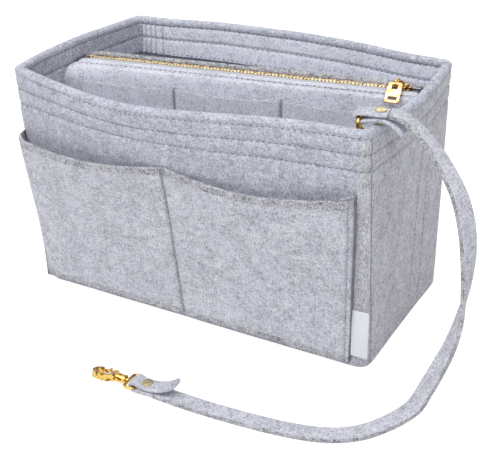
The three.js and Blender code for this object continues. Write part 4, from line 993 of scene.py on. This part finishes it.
def corner_seam(end, face):
    """The upright seam at an end wall's corner. It leans with the wall."""
    foot = Vector((0, face * CORNER_SEAM_FOOT, 0))
    lean = Vector((0, face * CORNER_SEAM_TOP, CORNER_SEAM_HEIGHT)) - foot
    return Seam(
        foot, Vector((0, lean.z, -lean.y)), *PRESSED["corner"], Vector((end, 0, 0)),
        lambda p: p.y * face > 40 * MM,
    )


def side_seam(end, y):
    return Seam(
        Vector((0, y, 0)), (0, 1, 0), *PRESSED["end wall"], Vector((end, 0, 0)),
        lambda p: abs(p.y - y) < 12 * MM and p.z > 12 * MM,
    )


def corner_tucks():
    """The gathered rows inside the back left corner of the facing."""
    return [
        Seam(
            Vector((x * MM, 0, 0)), (1, 0, 0), *PRESSED["tuck"], Vector((0, -1, 0)),
            lambda p: p.y > 0 and p.x < -95 * MM,
        )
        for x in TUCKS_X
    ]


def make_body():
    trim = RIM_TOP - 2.8 * MM
    walls, facings = [], []
    # The front, back and end walls take finishes of the felt painted darker, as painted shade.
    for side in ("front", "back"):
        walls.append(felt_sheet(f"{side}_wall", f"felt_{side}_wall", "wall_felt_painted_shade", rim_seams(RIM_ROWS), trim=trim))
    for side, end, rows in END_WALLS:
        seams = rim_seams(RIM_ROWS) + [corner_seam(end, -1), corner_seam(end, 1)]
        seams += [side_seam(end, y) for y in rows]
        walls.append(felt_sheet(f"{side}_wall", f"felt_{side}_wall", "upright_felt_painted_shade", seams, trim=trim))
    # The rim facings take the felt painted lighter as painted light at the front and back, and painted darker as
    # shade at the ends.
    for side in ("front", "back", "left", "right"):
        finish_name = "inner_felt_painted_light" if side in ("front", "back") else "end_facing_felt_painted_shade"
        seams = rim_seams(RIM_ROWS[:2]) + (corner_tucks() if side == "back" else [])
        facings.append(felt_sheet(f"{side}_rim_facing", f"felt_{side}_facing", finish_name, seams, trim=trim))
    base = felt_sheet("base_panel", "felt_base", levels=1)
    outline = wall_outline(RIM_TOP - 3.5 * MM)
    fold = make_rim_fold(outline)

    outer, inner = surface_of(walls), surface_of(facings + walls)
    outside_lines, inside_lines = [], []
    closed = outline + outline[:1]
    for height in RIM_ROWS:
        level = [Vector((point.x, point.y, height)) for point, out in closed]
        outs = [out for point, out in closed]
        starts = [p + out * 8 * MM for p, out in zip(level, outs)]
        outside_lines.append(cast_line(outer, starts, [-out for out in outs]))
        starts = [p - out * 16 * MM for p, out in zip(level, outs)]
        inside_lines.append(cast_line(inner, starts, outs))
    sew("rim_stitches_outside", outside_lines, 11)
    sew("rim_stitches_inside", inside_lines, 12)

    uprights = []
    for side, end, rows in reversed(END_WALLS):
        outside = end * END_WALL_RAYS_X
        lines = [[Vector((outside, y, z)) for z in np.arange(*SIDE_STITCHES, STITCH_GRID)] for y in rows]
        for face in (-1, 1):
            lines.append([
                Vector((outside, face * (CORNER_SEAM_FOOT + z * CORNER_SEAM_LEAN), z))
                for z in np.arange(*CORNER_STITCHES, STITCH_GRID)
            ])
        uprights.extend(cast_line(outer, starts, Vector((-end, 0, 0))) for starts in lines)
    sew("end_wall_stitches", uprights, 13)
    for piece in [*walls, *facings, base, fold]:
        settle(piece)


def make_rim_fold(outline):
    """The felt turned over the rim, from the top row of stitches outside to the one inside."""
    middle, half_width = RIM_LAYERS / 2, RIM_LAYERS / 2 + FOLD_PROUD
    shoulder = RIM_TOP - 2.7 * MM
    skirt = [
        (half_width - 0.55 * MM, RIM_TOP - 5.0 * MM), (half_width - 0.3 * MM, RIM_TOP - 4.5 * MM),
        (half_width - 0.04 * MM, RIM_TOP - 3.7 * MM),
    ]
    section = list(skirt)
    for step in range(11):
        angle = math.radians(step * 18)
        section.append((half_width * math.cos(angle), shoulder + FOLD_RISE * math.sin(angle)))
    section.extend((-reach, height) for reach, height in reversed(skirt))
    points = [
        Vector((point.x, point.y, height)) + out * (reach - middle) for point, out in outline
        for reach, height in section
    ]
    faces = skin(len(outline), len(section), closed=True)
    # The rim fold takes the walls' felt, painted darker as shade.
    fold = new_piece("rim_fold", points, faces, "wall_felt_painted_shade")
    turn_outwards(fold)
    smooth(fold)
    return fold


def pocket_slack(point):
    """How the hanging pockets stand off their drawn shape: the seam leans right, the right end stands up."""
    rise = max(0.0, point.z / POCKET_TOP)
    right = ramp(point.x, 30 * MM, 112 * MM)
    seam = max(0.0, 1 - abs(point.x - POCKET_SEAM_X) / POCKET_LEAN_REACH)
    peak = ramp(point.x, 112 * MM, 126 * MM)
    lean = POCKET_SEAM_LEAN * seam + POCKET_END_LEAN * right
    stand = POCKET_END_RISE * right + POCKET_END_PEAK * peak
    return Vector((lean * rise, 0, stand * rise ** 2)) * MM


def turn_in_end(panel, end, side, reach, depth):
    """Rounds one end of the pocket panel back to the wall, where the felt is folded round."""
    for share in (0.08, 0.2, 0.38, 0.6, 0.8, 1.0):
        with editing(panel) as mesh:
            near = end - side * 1.5 * reach
            pick(mesh, panel, mesh.faces, lambda face: any((v.co.x - near) * side > 0 for v in face.verts))
            bpy.ops.mesh.bisect(plane_co=(end - side * share * reach, 0, 0), plane_no=(1, 0, 0))
    # Painted shade: the fold attribute darkens the felt at the end turned against the wall and, at the right end,
    # along the fold line, in the same way as the creases' painted shade.
    fold = panel.data.attributes.get("fold") or panel.data.attributes.new("fold", "FLOAT", "POINT")
    for vertex in panel.data.vertices:
        part = max(0.0, 1 - (end - vertex.co.x) * side / reach)
        rise = max(0.0, vertex.co.z / POCKET_TOP)
        vertex.co.y += depth * (1 - math.sqrt(max(0.0, 1 - part * part))) * rise ** 1.2
        vertex.co.x -= side * 0.25 * reach * part * part * rise
        if part > 0.9:
            fold.data[vertex.index].value = 0.65
        elif side > 0 and 0.05 < part < 0.3:
            fold.data[vertex.index].value = 0.4


def turn_in_ends(panel):
    left, right = (choice(v.co.x for v in panel.data.vertices) for choice in (min, max))
    turn_in_end(panel, left, -1, LEFT_END_REACH, LEFT_END_DEPTH)
    turn_in_end(panel, right, 1, RIGHT_END_REACH, RIGHT_END_DEPTH)


def tuck_pleat(pleat):
    """Sets the left pleat down and in, behind the rounded end of the panel."""
    for vertex in pleat.data.vertices:
        rise = max(0.0, vertex.co.z / POCKET_TOP)
        vertex.co.x += PLEAT_TUCKED_IN * rise
        vertex.co.z -= PLEAT_SET_DOWN * rise ** 4


def make_front_pockets():
    foot, top = POCKET_SEAM
    seam = Seam(
        foot, Vector((top.z - foot.z, 0, foot.x - top.x)), *PRESSED["pocket"], Vector((0, -1, 0)),
        lambda p: abs(p.x - POCKET_SEAM_X) < 20 * MM,
    )
    panel = felt_sheet(
        "front_pocket_panel", "felt_front_pockets", seams=[seam], shape=turn_in_ends, edge_finish=1,
    )
    pleats = [
        felt_sheet("left_pocket_pleat", "felt_left_pleat", levels=1, shape=tuck_pleat),
        felt_sheet("right_pocket_pleat", "felt_right_pleat", levels=1),
    ]
    cloth = surface_of([panel])
    sewn = between(foot + (top - foot) * 0.01, top - Vector((0, 0, 1 * MM)))
    line = cast_line(cloth, [p + Vector((0, POCKET_RAYS_Y, 0)) for p in sewn], Vector((0, 1, 0)), 0.2)
    stitches = sew("pocket_seam_stitches", [line], 21, settled=False)
    for piece in [panel, *pleats, stitches]:
        for vertex in piece.data.vertices:
            vertex.co += pocket_slack(vertex.co)
        settle(piece)

    tag = copy_of("side_tag", "blank_side_tag", ["blank_tag_weave"])
    round_edges(tag, 0.2 * MM, 2, 60)
    smooth(tag, 40)
    settle(tag)


def chain_height(x):
    """Height of the zip chain's middle plane over a place along the bag."""
    return CHAIN_START.z + (x - CHAIN_START.x) * CHAIN_ALONG.z / CHAIN_ALONG.x


def round_pouch_end(piece):
    """Drops the pouch's top at its left end, where the felt turns down."""
    for vertex in piece.data.vertices:
        part = min(1.0, max(0.0, (POUCH_TURN_X - vertex.co.x) / POUCH_TURN_REACH))
        drop = POUCH_TURN_DROP * (1 - math.sqrt(1 - part * part))
        vertex.co.z -= drop * ramp(vertex.co.z, 115 * MM, 148 * MM)


def press_zip_edge(panel):
    """Presses the felt flat where it is sewn along the zip, and rounds the pouch's left end."""
    for vertex in panel.data.vertices:
        over = vertex.co.z - chain_height(vertex.co.x)
        vertex.co.z -= ZIP_EDGE_PRESSED * ramp(over, -0.4 * MM, 2.4 * MM)
    round_pouch_end(panel)


def make_pouch():
    sizes = bpy.context.scene.organizer_felt
    zip_seam = Seam(
        CHAIN_START - CHAIN_UP * ZIP_SEAM_DROP * MM, CHAIN_UP, sizes.groove_width, sizes.groove_depth, 0.25, None,
        lambda p: p.z > 140 * MM,
    )
    # The pouch's panels and, below, the slip pocket take the felt painted lighter, as painted light inside the
    # body.
    panels = [
        felt_sheet("pouch_front_panel", "felt_pouch_front", "inner_felt_painted_light", [zip_seam], shape=press_zip_edge),
        felt_sheet("pouch_back_panel", "felt_pouch_back", "inner_felt_painted_light", [zip_seam], shape=round_pouch_end),
    ]
    slip_seams = [
        Seam(
            Vector((x, 0, 0)), (1, 0, 0), *PRESSED["slip pocket"], Vector((0, -1, 0)),
            lambda p, x=x: abs(p.x - x) < 8 * MM,
        )
        for x in SLIP_SEAMS
    ]
    slip = felt_sheet("slip_pocket_panel", "felt_slip_pocket", "inner_felt_painted_light", slip_seams)
    others = [
        felt_sheet("left_pouch_gusset", "felt_left_gusset", levels=1, shape=round_pouch_end),
        felt_sheet("right_pouch_gusset", "felt_right_gusset", levels=1),
        felt_sheet("pouch_bottom", "felt_pouch_bottom", levels=1),
    ]
    front, back, pocket = surface_of(panels[:1]), surface_of(panels[1:]), surface_of([slip])
    lines = []
    for cloth, side in ((front, -1), (back, 1)):
        run = between(CHAIN_START - CHAIN_ALONG * 4 * MM, CHAIN_START + CHAIN_ALONG * (CHAIN_LENGTH + 8 * MM))
        starts = [p - CHAIN_UP * ZIP_SEAM_DROP * MM + CHAIN_ACROSS * side * 30 * MM for p in run]
        lines.append(cast_line(cloth, starts, -CHAIN_ACROSS * side))
    for x in SLIP_SEAMS:
        heights = np.arange(*SLIP_POCKET_STITCHES, STITCH_GRID)
        starts = [Vector((x, SLIP_POCKET_RAYS_Y, z)) for z in heights]
        lines.append(cast_line(pocket, starts, Vector((0, 1, 0)), 0.1))
    sew("pouch_stitches", lines, 31)
    for piece in [*panels, slip, *others]:
        settle(piece)


def chain_place(x, y, z):
    return CHAIN_START + CHAIN_ALONG * x + CHAIN_ACROSS * y + CHAIN_UP * z


def zip_tooth():
    """One tooth of the metal zip: a rounded head that meshes, and wider legs clamped on the tape's bead."""
    bpy.ops.object.select_all(action="DESELECT")
    bpy.ops.mesh.primitive_cube_add(size=1)
    tooth = bpy.context.active_object
    with editing(tooth) as mesh:
        bpy.ops.mesh.select_all(action="SELECT")
        bpy.ops.transform.resize(value=TOOTH_SIZE)
        bpy.ops.transform.translate(value=(0, 1.0 * MM, 0))
        bpy.ops.mesh.bisect(plane_co=(0, TOOTH_LEGS_Y, 0), plane_no=(0, 1, 0))
        mesh = bmesh.from_edit_mesh(tooth.data)
        pick(mesh, tooth, mesh.verts, lambda v: v.co.y > TOOTH_LEGS_Y - 0.1 * MM)
        bpy.ops.transform.resize(value=TOOTH_LEGS_WIDER)
        bpy.ops.mesh.select_all(action="SELECT")
        bpy.ops.mesh.bevel(offset=0.22 * MM, segments=2, affect="EDGES", profile=0.6, clamp_overlap=True)
        bpy.ops.mesh.normals_make_consistent(inside=False)
    return taken_apart(tooth)


def make_zip_row(name, node, start, side, finish_name):
    points, faces = zip_tooth()
    all_points, all_faces = [], []
    middle = start + TOOTH_PITCH / 2
    while middle + 0.6 * MM < CHAIN_LENGTH:
        first = len(all_points)
        all_points.extend(chain_place(middle + p.x, side * p.y, side * p.z) for p in points)
        all_faces.extend([first + i for i in face] for face in faces)
        middle += TOOTH_PITCH
    row = new_piece(name, all_points, all_faces, finish_name)
    smooth(row, 35)
    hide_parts(node)


def make_bead(name, side):
    """The corded edge of a tape, which the teeth are clamped on."""
    section = []
    for k in range(10):
        angle = math.pi * k / 5
        across = BEAD_OFF_MIDDLE + BEAD_HALF_WIDTH * math.cos(angle)
        section.append((across, BEAD_HALF_HEIGHT * math.sin(angle)))
    points = []
    for k in range(BEAD_STEPS + 1):
        x = (k / BEAD_STEPS) * CHAIN_LENGTH
        points.extend(chain_place(x, side * y * MM, z * MM) for y, z in section)
    sides = len(section)
    faces = skin(BEAD_STEPS + 1, sides)
    faces.append(tuple(range(sides)))
    faces.append(tuple(range(BEAD_STEPS * sides, (BEAD_STEPS + 1) * sides)))
    bead = new_piece(name, points, faces, "zip_tape_weave")
    turn_outwards(bead)
    smooth(bead, 60)


def cast_metal(node, piece_name, voxel_share=1.0, passes=None, finish_name="polished_gold"):
    """A cast metal piece from its CAD solid, rounded on a fine grid and polished."""
    sizes = bpy.context.scene.organizer_metal
    piece = copy_of(node, piece_name, [finish_name])
    apply_modifier(piece, "REMESH", mode="VOXEL", voxel_size=sizes.voxel * voxel_share, adaptivity=0)
    apply_modifier(piece, "SMOOTH", factor=0.5, iterations=sizes.polish_passes if passes is None else passes)
    if not piece.data.materials:
        piece.data.materials.append(finish(finish_name))
    smooth(piece)
    return piece


def round_wire(node, piece_name):
    """A loop of round wire from its CAD solid."""
    piece = copy_of(node, piece_name, ["polished_gold"])
    apply_modifier(piece, "SUBSURF", levels=2)
    smooth(piece)
    return piece


def pressed_metal(node, piece_name, rounding, finish_name="polished_gold"):
    """A small pressed or stamped piece from its CAD solid, with its edges rounded over."""
    piece = copy_of(node, piece_name, [finish_name])
    round_edges(piece, rounding, 3, 30)
    smooth(piece, 35)
    return piece


def make_zip():
    for side_name, side in (("front", -1), ("back", 1)):
        tape = copy_of(f"zip_tape_{side_name}", f"woven_tape_{side_name}", ["zip_tape_weave"])
        round_edges(tape, 0.15 * MM, 1, 60)
        apply_modifier(tape, "SUBSURF", levels=1)
        smooth(tape, 60)
        round_pouch_end(tape)
        settle(tape)
        make_bead(f"tape_bead_{side_name}", side)
        pressed_metal(f"zip_top_stop_{side_name}", f"top_stop_{side_name}", 0.35 * MM)
    # The back row of teeth is painted in shade. The front row keeps the teeth's own gold.
    make_zip_row("gold_teeth_back", "zip_teeth_back", 0, 1, "back_teeth_painted_shade_gold")
    make_zip_row("gold_teeth_front", "zip_teeth_front", TOOTH_PITCH / 2, -1, "pale_gold")
    pressed_metal("zip_bottom_stop", "bottom_stop", 0.5 * MM)
    cast_metal("zip_slider", "gold_slider", 0.9, 4)
    cast_metal("zip_pull", "gold_pull", 0.9, 3, "pull_gold")
    round_wire("zip_pull_link", "gold_pull_link")


def make_leash():
    strap, path, length = make_strap()
    folds = [felt_sheet(f"{side}_strap_fold", f"felt_{side}_fold", levels=1) for side in ("near", "far")]
    rivets = [
        cast_metal(f"{side}_rivet", f"{side}_gold_rivet", finish_name="rivet_gold") for side in ("near", "far")
    ]
    hooks = []
    for end in ("far", "near"):
        hooks += [
            cast_metal(f"{end}_hook_eye", f"{end}_gold_eye"),
            cast_metal(f"{end}_hook_body", f"{end}_gold_hook"),
            cast_metal(f"{end}_hook_gate", f"{end}_gold_gate", 0.9, 4),
            cast_metal(f"{end}_hook_pin", f"{end}_gold_pin", 0.8, 2),
            pressed_metal(f"{end}_gate_spring", f"{end}_steel_spring", 0.06 * MM, "spring_steel"),
        ]


def make_ring_and_tab():
    round_wire("d_ring", "gold_d_ring")
    tab = felt_sheet("d_ring_tab", "felt_ring_tab", levels=1)
    settle(tab)


def area_light(name, place, size, watts):
    aim = (LAMP_TARGET - Vector(place)).to_track_quat("-Z", "Y").to_euler()
    bpy.ops.object.light_add(type="AREA", location=place, rotation=aim)
    light = bpy.context.active_object
    light.name = name
    light.data.size = size
    light.data.energy = watts


def seen_directly(nodes):
    """1 where the camera, a glossy ray or a transmitted ray meets the surface."""
    light_path = nodes.add("ShaderNodeLightPath").outputs
    direct = nodes.math("MAXIMUM", light_path["Is Camera Ray"], light_path["Is Glossy Ray"])
    return nodes.math("MAXIMUM", direct, light_path["Is Transmission Ray"])


def make_stage():
    bpy.ops.object.select_all(action="DESELECT")
    bpy.ops.mesh.primitive_circle_add(vertices=96, radius=6, fill_type="NGON", location=(0, 0, -0.25 * MM))
    floor = bpy.context.active_object
    floor.name = "studio_floor"
    made, nodes, shader, place = new_material("studio_white", 0.9)
    shader.inputs["Base Color"].default_value = (0.88, 0.88, 0.88, 1)
    shader.inputs["Specular IOR Level"].default_value = 0
    glow = nodes.add("ShaderNodeEmission", {"Strength": FLOOR_GLOW})
    lift = nodes.times(seen_directly(nodes), FLOOR_GLOW_SHARE)
    mixed = nodes.add("ShaderNodeMixShader", {0: lift, 1: shader.outputs[0], 2: glow.outputs[0]})
    output = next(n for n in made.node_tree.nodes if n.type == "OUTPUT_MATERIAL")
    nodes.feed(output.inputs["Surface"], mixed.outputs[0])
    floor.data.materials.append(made)

    bpy.context.scene.view_settings.view_transform = "Standard"
    world = bpy.data.worlds.new("studio_world")
    world.use_nodes = True
    bpy.context.scene.world = world
    nodes = Nodes(world.node_tree)
    ambient = next(n for n in world.node_tree.nodes if n.type == "BACKGROUND")
    ambient.inputs["Color"].default_value = (0.97, 0.98, 1.0, 1)
    ambient.inputs["Strength"].default_value = AMBIENT_STRENGTH
    white = nodes.add("ShaderNodeBackground", {"Color": (1, 1, 1, 1), "Strength": 1.0})
    mixed = nodes.add("ShaderNodeMixShader", {0: seen_directly(nodes), 1: ambient.outputs[0], 2: white.outputs[0]})
    output = next(n for n in world.node_tree.nodes if n.type == "OUTPUT_WORLD")
    nodes.feed(output.inputs["Surface"], mixed.outputs[0])
    for name, (place, size, watts) in LAMPS.items():
        area_light(name, place, size, watts)


class MakesPieces:
    """What every step of the organizer does: it makes its pieces."""
    bl_options = {"REGISTER", "UNDO"}

    def execute(self, context):
        self.make()
        return {"FINISHED"}


class ORGANIZER_OT_camera(MakesPieces, bpy.types.Operator):
    """Camera at the product view of the organizer"""
    bl_idname = "organizer.camera"
    bl_label = "Camera"
    make = staticmethod(make_camera)


class ORGANIZER_OT_leash(MakesPieces, bpy.types.Operator):
    """Felt key leash with its folded ends, rivets and swivel snap hooks"""
    bl_idname = "organizer.leash"
    bl_label = "Key Leash"
    make = staticmethod(make_leash)


class ORGANIZER_OT_body(MakesPieces, bpy.types.Operator):
    """Felt walls, base, rim facings and the fold and stitching of the rim"""
    bl_idname = "organizer.body"
    bl_label = "Felt Body"
    make = staticmethod(make_body)


class ORGANIZER_OT_front_pockets(MakesPieces, bpy.types.Operator):
    """Front pocket panel with its seam, pleats and blank side tag"""
    bl_idname = "organizer.front_pockets"
    bl_label = "Front Pockets"
    make = staticmethod(make_front_pockets)


class ORGANIZER_OT_pouch(MakesPieces, bpy.types.Operator):
    """Divider pouch with its gussets and slip pockets"""
    bl_idname = "organizer.pouch"
    bl_label = "Divider Pouch"
    make = staticmethod(make_pouch)


class ORGANIZER_OT_zip(MakesPieces, bpy.types.Operator):
    """Metal zip with its tapes, teeth, stops, slider and pull"""
    bl_idname = "organizer.zip"
    bl_label = "Zip"
    make = staticmethod(make_zip)


class ORGANIZER_OT_ring(MakesPieces, bpy.types.Operator):
    """D-ring for the leash and its felt tab inside the right wall"""
    bl_idname = "organizer.ring"
    bl_label = "D-Ring and Tab"
    make = staticmethod(make_ring_and_tab)


class ORGANIZER_OT_stage(MakesPieces, bpy.types.Operator):
    """Pale floor, white background and soft studio light"""
    bl_idname = "organizer.stage"
    bl_label = "Stage"
    make = staticmethod(make_stage)


class ORGANIZER_PT_panel(bpy.types.Panel):
    """Sizes, colours and pieces of the organizer"""
    bl_idname = "ORGANIZER_PT_panel"
    bl_label = "Felt Organizer"
    bl_space_type = "VIEW_3D"
    bl_region_type = "UI"
    bl_category = "Organizer"

    def draw(self, context):
        for group in (context.scene.organizer_felt, context.scene.organizer_metal, context.scene.organizer_colours):
            box = self.layout.box()
            for name in group.bl_rna.properties.keys():
                if name not in ("rna_type", "name"):
                    box.prop(group, name)
        for operator in OPERATORS:
            self.layout.operator(operator.bl_idname)


GROUPS = [FeltSizes, MetalSizes, FinishColours]
OPERATORS = [
    ORGANIZER_OT_camera, ORGANIZER_OT_leash, ORGANIZER_OT_body, ORGANIZER_OT_front_pockets,
    ORGANIZER_OT_pouch, ORGANIZER_OT_zip, ORGANIZER_OT_ring, ORGANIZER_OT_stage,
]


def register():
    for item in [*GROUPS, *OPERATORS, ORGANIZER_PT_panel]:
        bpy.utils.register_class(item)
    bpy.types.Scene.organizer_felt = PointerProperty(type=FeltSizes)
    bpy.types.Scene.organizer_metal = PointerProperty(type=MetalSizes)
    bpy.types.Scene.organizer_colours = PointerProperty(type=FinishColours)


def unregister():
    del bpy.types.Scene.organizer_colours
    del bpy.types.Scene.organizer_metal
    del bpy.types.Scene.organizer_felt
    for item in reversed([*GROUPS, *OPERATORS, ORGANIZER_PT_panel]):
        bpy.utils.unregister_class(item)


def main():
    register()
    bpy.ops.organizer.camera()
    bpy.ops.organizer.leash()
    bpy.ops.organizer.body()
    bpy.ops.organizer.front_pockets()
    bpy.ops.organizer.pouch()
    bpy.ops.organizer.zip()
    bpy.ops.organizer.ring()
    bpy.ops.organizer.stage()
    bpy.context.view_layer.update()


if __name__ == "__main__":
    main()
